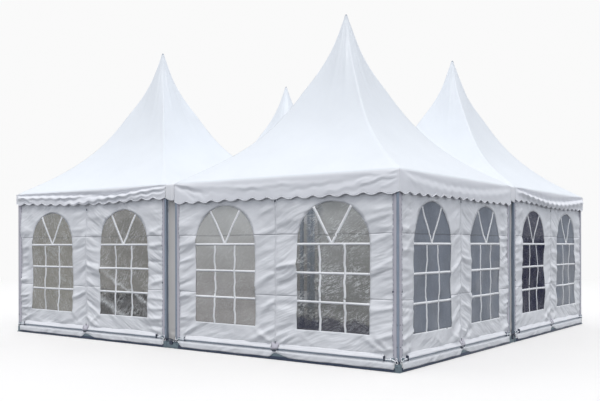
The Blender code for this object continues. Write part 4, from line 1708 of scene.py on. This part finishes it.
def gutter_patch():
    """The cross of gutter cloth between the modules, as (points, faces, uvs)."""
    section = [GUTTER_HALF * part for part in GUTTER_PARTS]
    section = [-value for value in reversed(section[1:])] + section
    arm = list(np.linspace(GUTTER_HALF, GUTTER_END, 68))[1:]
    lines = [-value for value in reversed(arm)] + section + arm
    index, points, faces = {}, [], []

    def number(x, y):
        key = (round(x, 5), round(y, 5))
        if key not in index:
            index[key] = len(points)
            points.append((x, y, gutter_level(x, y)))
        return index[key]

    limit = GUTTER_HALF + 1e-6
    for low_x, high_x in zip(lines, lines[1:]):
        for low_y, high_y in zip(lines, lines[1:]):
            if max(abs(low_x), abs(high_x)) <= limit or max(abs(low_y), abs(high_y)) <= limit:
                corners = ((low_x, low_y), (high_x, low_y), (high_x, high_y), (low_x, high_y))
                faces.append(tuple(number(x, y) for x, y in corners))
    points = np.array(points)
    sag = 0.004 * np.sin(2.1 * points[:, 0] + 1.3 * points[:, 1] + 0.6) - 0.001
    inside = np.minimum(np.abs(points[:, 0]), np.abs(points[:, 1])) < 0.7 * GUTTER_HALF
    points[:, 2] += np.where(inside, np.maximum(sag, -0.002), 0.0)
    return points, faces, points[:, :2]


class MARQUEE_OT_gutter(bpy.types.Operator):
    """Gutter cloth between the modules, its end flaps and the closing strips under them"""

    bl_idname = "marquee.gutter"
    bl_label = "Gutter and closing strips"

    def execute(self, context):
        finishes, sizes = ready(context)
        trough = sheet_piece(
            "gutter_trough", [gutter_patch()], "roof_cloth", finishes["roof"], sizes.cloth
        )
        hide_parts("gutter")
        for side, name in enumerate(SIDES):
            thing = sheet_piece(
                f"end_flap_{name}", [self.flap(side)], "roof_cloth", finishes["binding"], sizes.cloth
            )
            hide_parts("gutter")
            strip = sheet_piece(
                f"closing_strip_{name}", [self.strip(side)], "roof_cloth", finishes["strip"], sizes.cloth
            )
            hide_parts("gutter")
        return {"FINISHED"}

    def flap(self, side):
        """Flap over the gutter's end, with two soft pleats."""
        profile = list(FLAP_TURN)
        profile += [
            (level, 4.099 + 0.004 * math.sin((FLAP_BEND - level) * 12))
            for level in np.linspace(2.62, 2.385, 16)
        ]
        across = np.linspace(-1.0, 1.0, 21)
        pleat = 0.005 * np.exp(-((across - 0.35) / 0.12) ** 2)
        pleat -= 0.006 * np.exp(-((across + 0.55) / 0.1) ** 2)
        rows = []
        for level, out in profile:
            low = max(0.0, (FLAP_BEND - level) / FLAP_DROP)
            width = GUTTER_HALF - 0.004 * low
            drop = 0.02 * across ** 2 * low - 0.02 * low * across
            stand = out + pleat * min(1.0, low * 4)
            rows.append(np.stack([across * width, -stand, level + drop], axis=-1))
        points = turned(np.concatenate(rows[::-1]), side)
        uvs = [(a * 0.1, 2.65 - 0.02 * i) for i in range(len(rows)) for a in across]
        return points, grid_faces(len(rows), len(across)), uvs

    def strip(self, side):
        """Strip between the two posts of a junction, rippled, and crumpled at its foot."""
        rnd = random.Random(900 + side)
        ripple = Billow(rnd, 0.0035, 5, 0.3)
        crumple = Billow(rnd, 0.011, 6, 0.09)
        levels = np.linspace(0.112, 2.52, 110)
        across = np.linspace(-STRIP_HALF, STRIP_HALF, 17)
        grid_x, grid_z = np.meshgrid(across, levels)
        x, z = grid_x.ravel(), grid_z.ravel()
        low = 1 - smooth(0.14, 0.42, z)
        place = STRIP_PLACE + ripple.at(x * 2, z * 0.5) + low * crumple.at(x, z) + 0.0025 * np.cos(50 * x)
        place = np.clip(place, POST_INNER, STRIP_LIMIT)
        points = turned(np.stack([x, -place, z], axis=-1), side)
        return points, grid_faces(len(levels), len(across)), np.stack([x, z], axis=-1)


# Metal frame and fittings

POST_EDGE = 0.004
# Distances from the outer face of the frame
FOOT_FRONT = 0.013
FOOT_BACK = 0.087
PLATE_FRONT = 0.002
PLATE_BACK = 0.1
HEM_BAR_IN = 0.015
# Height and stand from the wall of the tab over the joint of the hem bars
TAB = (
    (0.152, 0.036), (0.168, 0.0385), (0.184, 0.0365), (0.2, 0.03),
    (0.216, 0.019), (0.234, 0.008), (0.25, 0.0035),
)


def rounded_posts(name, finish):
    """Posts of a CAD node with rounded edges, as a piece that replaces it."""
    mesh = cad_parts[name].data.copy()
    mesh.materials.clear()
    bm = bmesh.new()
    bm.from_mesh(mesh)
    bmesh.ops.remove_doubles(bm, verts=bm.verts, dist=0.0001)
    bmesh.ops.dissolve_limit(bm, angle_limit=0.02, verts=bm.verts, edges=bm.edges)
    sharp = [e for e in bm.edges if e.is_manifold and e.is_convex and e.calc_face_angle(0.0) > 1.2]
    bmesh.ops.bevel(
        bm, geom=sharp, offset=POST_EDGE, segments=2, affect="EDGES", profile=0.5, clamp_overlap=True
    )
    bmesh.ops.recalc_face_normals(bm, faces=bm.faces)
    for face in bm.faces:
        face.material_index = 0
        face.smooth = face.calc_area() < 0.0015
    bm.to_mesh(mesh)
    bm.free()
    thing = piece(f"steel_{name}", mesh, "post_metal", finish)
    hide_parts(name)


def add_foot(bm, side, low, high, plate_low, plate_high):
    """Foot casting on its plate, between two places along a side."""
    add_block(
        bm, (low, -HALF + FOOT_FRONT, 0.006), (high, -HALF + FOOT_BACK, FOOT_TOP), 0.004, side
    )
    add_block(
        bm, (plate_low, -HALF + PLATE_FRONT, 0.0), (plate_high, -HALF + PLATE_BACK, 0.012), 0.002, side
    )


def eased(points, steps=4):
    """Soft curve through points."""
    points = [Vector(p) for p in points]
    made = []
    for index in range(len(points) - 1):
        before = points[max(index - 1, 0)]
        after = points[min(index + 2, len(points) - 1)]
        start, end = points[index], points[index + 1]
        for step in range(steps):
            t = step / steps
            made.append(0.5 * (
                2 * start + (end - before) * t + (2 * before - 5 * start + 4 * end - after) * t * t
                + (3 * start - before - 3 * end + after) * t ** 3
            ))
    return made + [points[-1]]


class MARQUEE_OT_frames(bpy.types.Operator):
    """Posts, eave rings, masts and ground rails with their finishes"""

    bl_idname = "marquee.frames"
    bl_label = "Metal frame"

    def execute(self, context):
        finishes, _ = ready(context)
        steel = finishes["steel"]
        for quarter, corner in enumerate(QUARTERS):
            rounded_posts(f"post_{corner}", steel)
            self.ground_frame(quarter, corner, finishes)
            for kind in ("eave_frame", "mast"):
                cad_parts[f"{kind}_{corner}"].material_slots[0].material = steel
            rounded_posts(f"post_pair_{SIDES[quarter]}", steel)
        rounded_posts("posts_centre", steel)
        return {"FINISHED"}

    def ground_frame(self, quarter, corner, finishes):
        """Rails, feet and hem bars of a module's two outer sides."""
        bm = bmesh.new()
        near = NEAR - 0.007
        far = near + FOOT_BACK - FOOT_FRONT
        add_foot(bm, quarter, HALF - FOOT_BACK, HALF - FOOT_FRONT, HALF - PLATE_BACK, HALF - PLATE_FRONT)
        for side, way in ((quarter, 1), (quarter + 1, -1)):
            low, high = sorted((way * near, way * far))
            add_foot(bm, side, low, high, low - 0.01, high + 0.01)
            low, high = sorted((way * (near + 0.072), way * (HALF - 0.085)))
            add_block(bm, (low, -HALF + 0.005, 0.0), (high, -HALF + 0.055, RAIL_TOP), 0.005, side, 1)
            low, high = sorted((way * (NEAR + POST + 0.02), way * (POST_INNER - 0.02)))
            bar = [(x, -HALF + HEM_BAR_IN, HEM_LEVEL - 0.004) for x in np.linspace(low, high, 9)]
            add_patch(bm, tube(bar, 0.0155, 12), side, 2)
        mesh = mesh_of(bm, f"rails_{corner}")
        mesh.set_sharp_from_angle(angle=0.7)
        thing = piece(
            f"rails_{corner}", mesh, "rail_metal", finishes["foot"], finishes["rail"], finishes["steel"]
        )
        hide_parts(f"ground_frame_{corner}")


class MARQUEE_OT_fittings(bpy.types.Operator):
    """Clamps, hooks and rings at the feet, hem bar ends and joints, and their bolts"""

    bl_idname = "marquee.fittings"
    bl_label = "Foot fittings"

    def execute(self, context):
        finishes, _ = ready(context)
        for side, name in enumerate(SIDES):
            bm, hooks = bmesh.new(), bmesh.new()
            tabs, heads = [], []
            for half in range(2):
                start = left_post(half)
                self.joint(bm, heads, side, start + ZIP_AT)
                tabs.append(self.tab(side, half))
                for edge, way in ((start, 1), (start + SPAN, -1)):
                    self.foot(bm, hooks, heads, side, edge, way)
            self.shoe(bm, side)
            clamps = piece(
                f"clamps_{name}", mesh_of(bm, "clamps"), "rail_metal", finishes["dark"], finishes["foot"]
            )
            clamps.data.shade_smooth()
            clamps.data.set_sharp_from_angle(angle=0.9)
            hook = piece(f"hooks_{name}", mesh_of(hooks, "hooks"), "rail_metal", finishes["bright"])
            hook.data.shade_smooth()
            heads = [(turned_point(place, side), facing_of(side)) for place in heads]
            grown_piece(
                f"bolts_{name}", point_mesh("bolt_points", heads), bolt_tree, "rail_metal",
                finishes["dark"], Radius=0.0065, Height=0.005, Sides=10,
            )
            sheet_piece(f"joint_tabs_{name}", tabs, "wall_cloth", finishes["band"], 0.002)
        return {"FINISHED"}

    def joint(self, bm, heads, side, middle):
        """Wedge, plate and end stops where two hem bars meet, with two bolts."""
        wedge = [(-0.1, 0.045), (0.3, 0.045), (0.13, 0.075), (0.03, 0.112), (-0.035, 0.112)]
        points = [(middle + x, y, z) for y in (-4.0905, -4.0805) for x, z in wedge]
        faces = [(0, 1, 2, 3, 4), (9, 8, 7, 6, 5)]
        faces += [(i, 5 + i, 5 + (i + 1) % 5, (i + 1) % 5) for i in range(5)]
        add_patch(bm, (points, faces), side, 1)
        add_block(bm, (middle - 0.052, -4.097, 0.108), (middle + 0.02, -4.074, 0.134), 0.003, side)
        for low, high in ((-0.064, -0.045), (0.045, 0.064)):
            add_block(bm, (middle + low, -4.103, 0.142), (middle + high, -4.071, 0.19), 0.003, side)
        heads += [(middle - 0.038, -4.1105, level) for level in (0.2, 0.225)]

    def tab(self, side, half):
        """Cloth tab over the joint of the hem bars, at the foot of the zip."""
        across = np.linspace(-0.068, 0.068, 15)
        rows = []
        for level, stand in TAB:
            height = level + 0.006 * np.sin(across * 35)
            bulge = 0.004 * np.cos(across * 60 + level * 40)
            rows.append(on_wall(side, half, ZIP_AT + across, height, stand + bulge))
        uvs = [(x, level) for level, _ in TAB for x in across]
        return np.concatenate(rows), grid_faces(len(TAB), len(across)), uvs

    def shoe(self, bm, side):
        """Plate that joins the two feet of a junction, with the link bar over it."""
        add_block(bm, (-0.094, -4.083, 0.0), (0.094, -4.035, 0.1), 0.006, side, 1)
        link = [
            (-0.15, -4.094, 0.152), (-0.06, -4.096, 0.15), (0.03, -4.096, 0.146),
            (0.1, -4.094, 0.118), (0.13, -4.092, 0.095),
        ]
        add_patch(bm, tube(eased(link), 0.009), side)
        add_block(bm, (-0.02, -4.1, 0.06), (0.05, -4.08, 0.125), 0.006, side)

    def foot(self, bm, hooks, heads, side, edge, way):
        """Collar on the post, bracket, hook and ring at the end of the hem bar, and bolts."""
        middle = edge - way * POST / 2
        face = -POST_FACE
        bar = -HALF + HEM_BAR_IN
        for ends, front, back, low, high, bevel, index in (
            ((middle - way * 0.034, edge + way * 0.004), face - 0.006, face + 0.03, 0.118, 0.148, 0.003, 0),
            ((edge + way * 0.15, edge + way * 0.163), bar - 0.022, bar + 0.016,
             HEM_LEVEL - 0.028, HEM_LEVEL + 0.04, 0.003, 0),
            ((edge + way * 0.006, edge + way * 0.05), bar - 0.018, bar + 0.016,
             HEM_LEVEL - 0.02, HEM_LEVEL + 0.02, 0.006, 1),
        ):
            left, right = sorted(ends)
            add_block(bm, (left, front, low), (right, back, high), bevel, side, index)
        sleeve = [(edge + way * along, bar, HEM_LEVEL) for along in np.linspace(0.04, 0.15, 5)]
        add_patch(hooks, tube(sleeve, 0.0168, 12), side)
        hook = [
            (edge + way * along, y, HEM_LEVEL + up)
            for along, y, up in (
                (0.052, bar - 0.012, 0.004), (0.026, bar - 0.02, 0.0), (0.004, face - 0.02, -0.01),
                (-0.016, face - 0.021, -0.018), (-0.032, face - 0.018, -0.008),
                (-0.038, face - 0.014, 0.014), (-0.028, face - 0.013, 0.028),
            )
        ]
        add_patch(hooks, tube(eased(hook), 0.0068), side)
        ring = [
            (edge - way * 0.03 + 0.019 * math.cos(a), face - 0.014 - 0.004 * math.sin(a),
             HEM_LEVEL - 0.034 + 0.022 * math.sin(a))
            for a in ring_angles(20)
        ]
        add_patch(hooks, tube(ring, 0.0042, 7, closed=True), side)
        heads += [(middle, face - 0.002, 0.33), (middle, face - 0.002, 0.62), (middle, -HALF + 0.011, 0.07)]


# Stage

FLOOR_REACH = 90.0
BACKDROP = 0.955
WHITE = (1.0, 1.0, 1.0, 1.0)
KEY_ANGLES = (27, 0, 34)
SENSOR = 36.0


class MARQUEE_OT_stage(bpy.types.Operator):
    """Pale floor, soft studio light and the camera at the photograph's angle"""

    bl_idname = "marquee.stage"
    bl_label = "Stage"

    def execute(self, context):
        self.floor(context)
        self.sky(context)
        self.lamps(context)
        self.camera(context)
        context.scene.view_settings.view_transform = "Standard"
        context.scene.view_settings.look = "None"
        return {"FINISHED"}

    def floor(self, context):
        """Floor that fades into the backdrop."""
        ways = ((-1, -1), (1, -1), (1, 1), (-1, 1))
        points = [(x * FLOOR_REACH, y * FLOOR_REACH, -0.001) for x, y in ways]
        mesh = mesh_from("studio_floor", points, [(0, 1, 2, 3)], smooth_faces=False)
        floor = bpy.data.objects.new("studio_floor", mesh)
        context.scene.collection.objects.link(floor)
        material, tree, shader = shader_of("pale_floor")
        where = node(tree, "ShaderNodeTexCoord").outputs["Object"]
        tone = mixed(tree, noise(tree, where, 0.6), rgba((0.9, 0.88, 0.86)), rgba((0.92, 0.9, 0.88)))
        tree.links.new(tone, shader.inputs["Base Color"])
        shader.inputs["Roughness"].default_value = 0.9
        shader.inputs["Specular IOR Level"].default_value = 0.1
        far = node(tree, "ShaderNodeVectorMath", {0: where}, operation="LENGTH").outputs["Value"]
        glow = result(tree, "ShaderNodeEmission", {"Color": WHITE, "Strength": BACKDROP})
        part = spread(tree, far, 9.0, 26.0)
        fading = result(tree, "ShaderNodeMixShader", {0: part, 1: shader.outputs[0], 2: glow})
        tree.links.new(fading, tree.nodes["Material Output"].inputs["Surface"])
        mesh.materials.append(material)
        floor.visible_diffuse = False

    def sky(self, context):
        """Soft light from all round, with a plain backdrop where the camera sees it."""
        world = bpy.data.worlds.new("studio_sky")
        context.scene.world = world
        world.use_nodes = True
        tree = world.node_tree
        tree.nodes.clear()
        height = split(tree, node(tree, "ShaderNodeTexCoord").outputs["Generated"])[2]
        low = spread(tree, height, -0.06, 0.1, 0.14, 1.0)
        high = spread(tree, height, 0.15, 1.0, 1.0, 0.7)
        strength = maths(tree, "MULTIPLY", low, high)
        part = spread(tree, height, 0.0, 0.6)
        tone = mixed(tree, part, rgba((0.88, 0.94, 1.03)), rgba((0.94, 0.97, 1.02)))
        sky = result(tree, "ShaderNodeBackground", {"Color": tone, "Strength": strength})
        plain = result(tree, "ShaderNodeBackground", {"Color": WHITE, "Strength": BACKDROP})
        seen = node(tree, "ShaderNodeLightPath").outputs["Is Camera Ray"]
        both = result(tree, "ShaderNodeMixShader", {0: seen, 1: sky, 2: plain})
        out = node(tree, "ShaderNodeOutputWorld", {0: both})
        out.is_active_output = True

    def lamps(self, context):
        """One soft key light, and a weak lamp in each room for the daylight through the cloth."""
        lamp = bpy.data.lights.new("key", "SUN")
        lamp.energy = 1.35
        lamp.angle = 0.45
        lamp.color = (1.0, 0.99, 0.97)
        key = bpy.data.objects.new("key", lamp)
        key.rotation_euler = [math.radians(angle) for angle in KEY_ANGLES]
        context.scene.collection.objects.link(key)
        for quarter in range(4):
            lamp = bpy.data.lights.new("light_through_cloth", "POINT")
            lamp.energy = 75.0
            lamp.shadow_soft_size = 0.7
            thing = bpy.data.objects.new("light_through_cloth", lamp)
            place = turned_point((MODULE_CENTRE, -MODULE_CENTRE, 2.3), quarter)
            thing.location = [float(value) for value in place]
            context.scene.collection.objects.link(thing)

    def camera(self, context):
        """Camera at the photograph's place, turned about the upright and a little about its axis."""
        lens = bpy.data.cameras.new("photograph_view")
        lens.lens = LENS
        lens.sensor_width = SENSOR
        lens.sensor_fit = "HORIZONTAL"
        lens.shift_x, lens.shift_y = CAMERA_SHIFT
        lens.clip_end = 300.0
        camera = bpy.data.objects.new("photograph_view", lens)
        forward = Vector((math.sin(CAMERA_YAW), math.cos(CAMERA_YAW), 0.0))
        across = Vector((math.cos(CAMERA_YAW), -math.sin(CAMERA_YAW), 0.0))
        up = across.cross(forward)
        tilt_across = math.cos(CAMERA_ROLL) * across + math.sin(CAMERA_ROLL) * up
        tilt_up = math.cos(CAMERA_ROLL) * up - math.sin(CAMERA_ROLL) * across
        turn = Matrix((tilt_across, tilt_up, -forward)).transposed()
        camera.matrix_world = Matrix.Translation(CAMERA_PLACE) @ turn.to_4x4()
        context.scene.collection.objects.link(camera)
        context.scene.camera = camera


class MARQUEE_PT_panel(bpy.types.Panel):
    """Marquee tools in the sidebar"""

    bl_idname = "MARQUEE_PT_panel"
    bl_label = "Linked pagoda marquee"
    bl_space_type = "VIEW_3D"
    bl_region_type = "UI"
    bl_category = "Marquee"

    def draw(self, context):
        for group in (context.scene.marquee_looks, context.scene.marquee_sizes):
            box = self.layout.box()
            for key in type(group).__annotations__:
                box.prop(group, key)
        for operator in OPERATORS:
            self.layout.operator(operator.bl_idname)


OPERATORS = (
    MARQUEE_OT_stage, MARQUEE_OT_frames, MARQUEE_OT_canopies, MARQUEE_OT_valances, MARQUEE_OT_walls,
    MARQUEE_OT_windows, MARQUEE_OT_zips, MARQUEE_OT_edge_bands, MARQUEE_OT_gutter, MARQUEE_OT_fittings,
)
CLASSES = (MarqueeLooks, MarqueeSizes, *OPERATORS, MARQUEE_PT_panel)


def register():
    for kind in CLASSES:
        bpy.utils.register_class(kind)
    bpy.types.Scene.marquee_looks = bpy.props.PointerProperty(type=MarqueeLooks)
    bpy.types.Scene.marquee_sizes = bpy.props.PointerProperty(type=MarqueeSizes)


def unregister():
    del bpy.types.Scene.marquee_sizes
    del bpy.types.Scene.marquee_looks
    for kind in reversed(CLASSES):
        bpy.utils.unregister_class(kind)


def main():
    register()
    for operator in OPERATORS:
        group, name = operator.bl_idname.split(".")
        getattr(getattr(bpy.ops, group), name)()


if __name__ == "__main__":
    main()
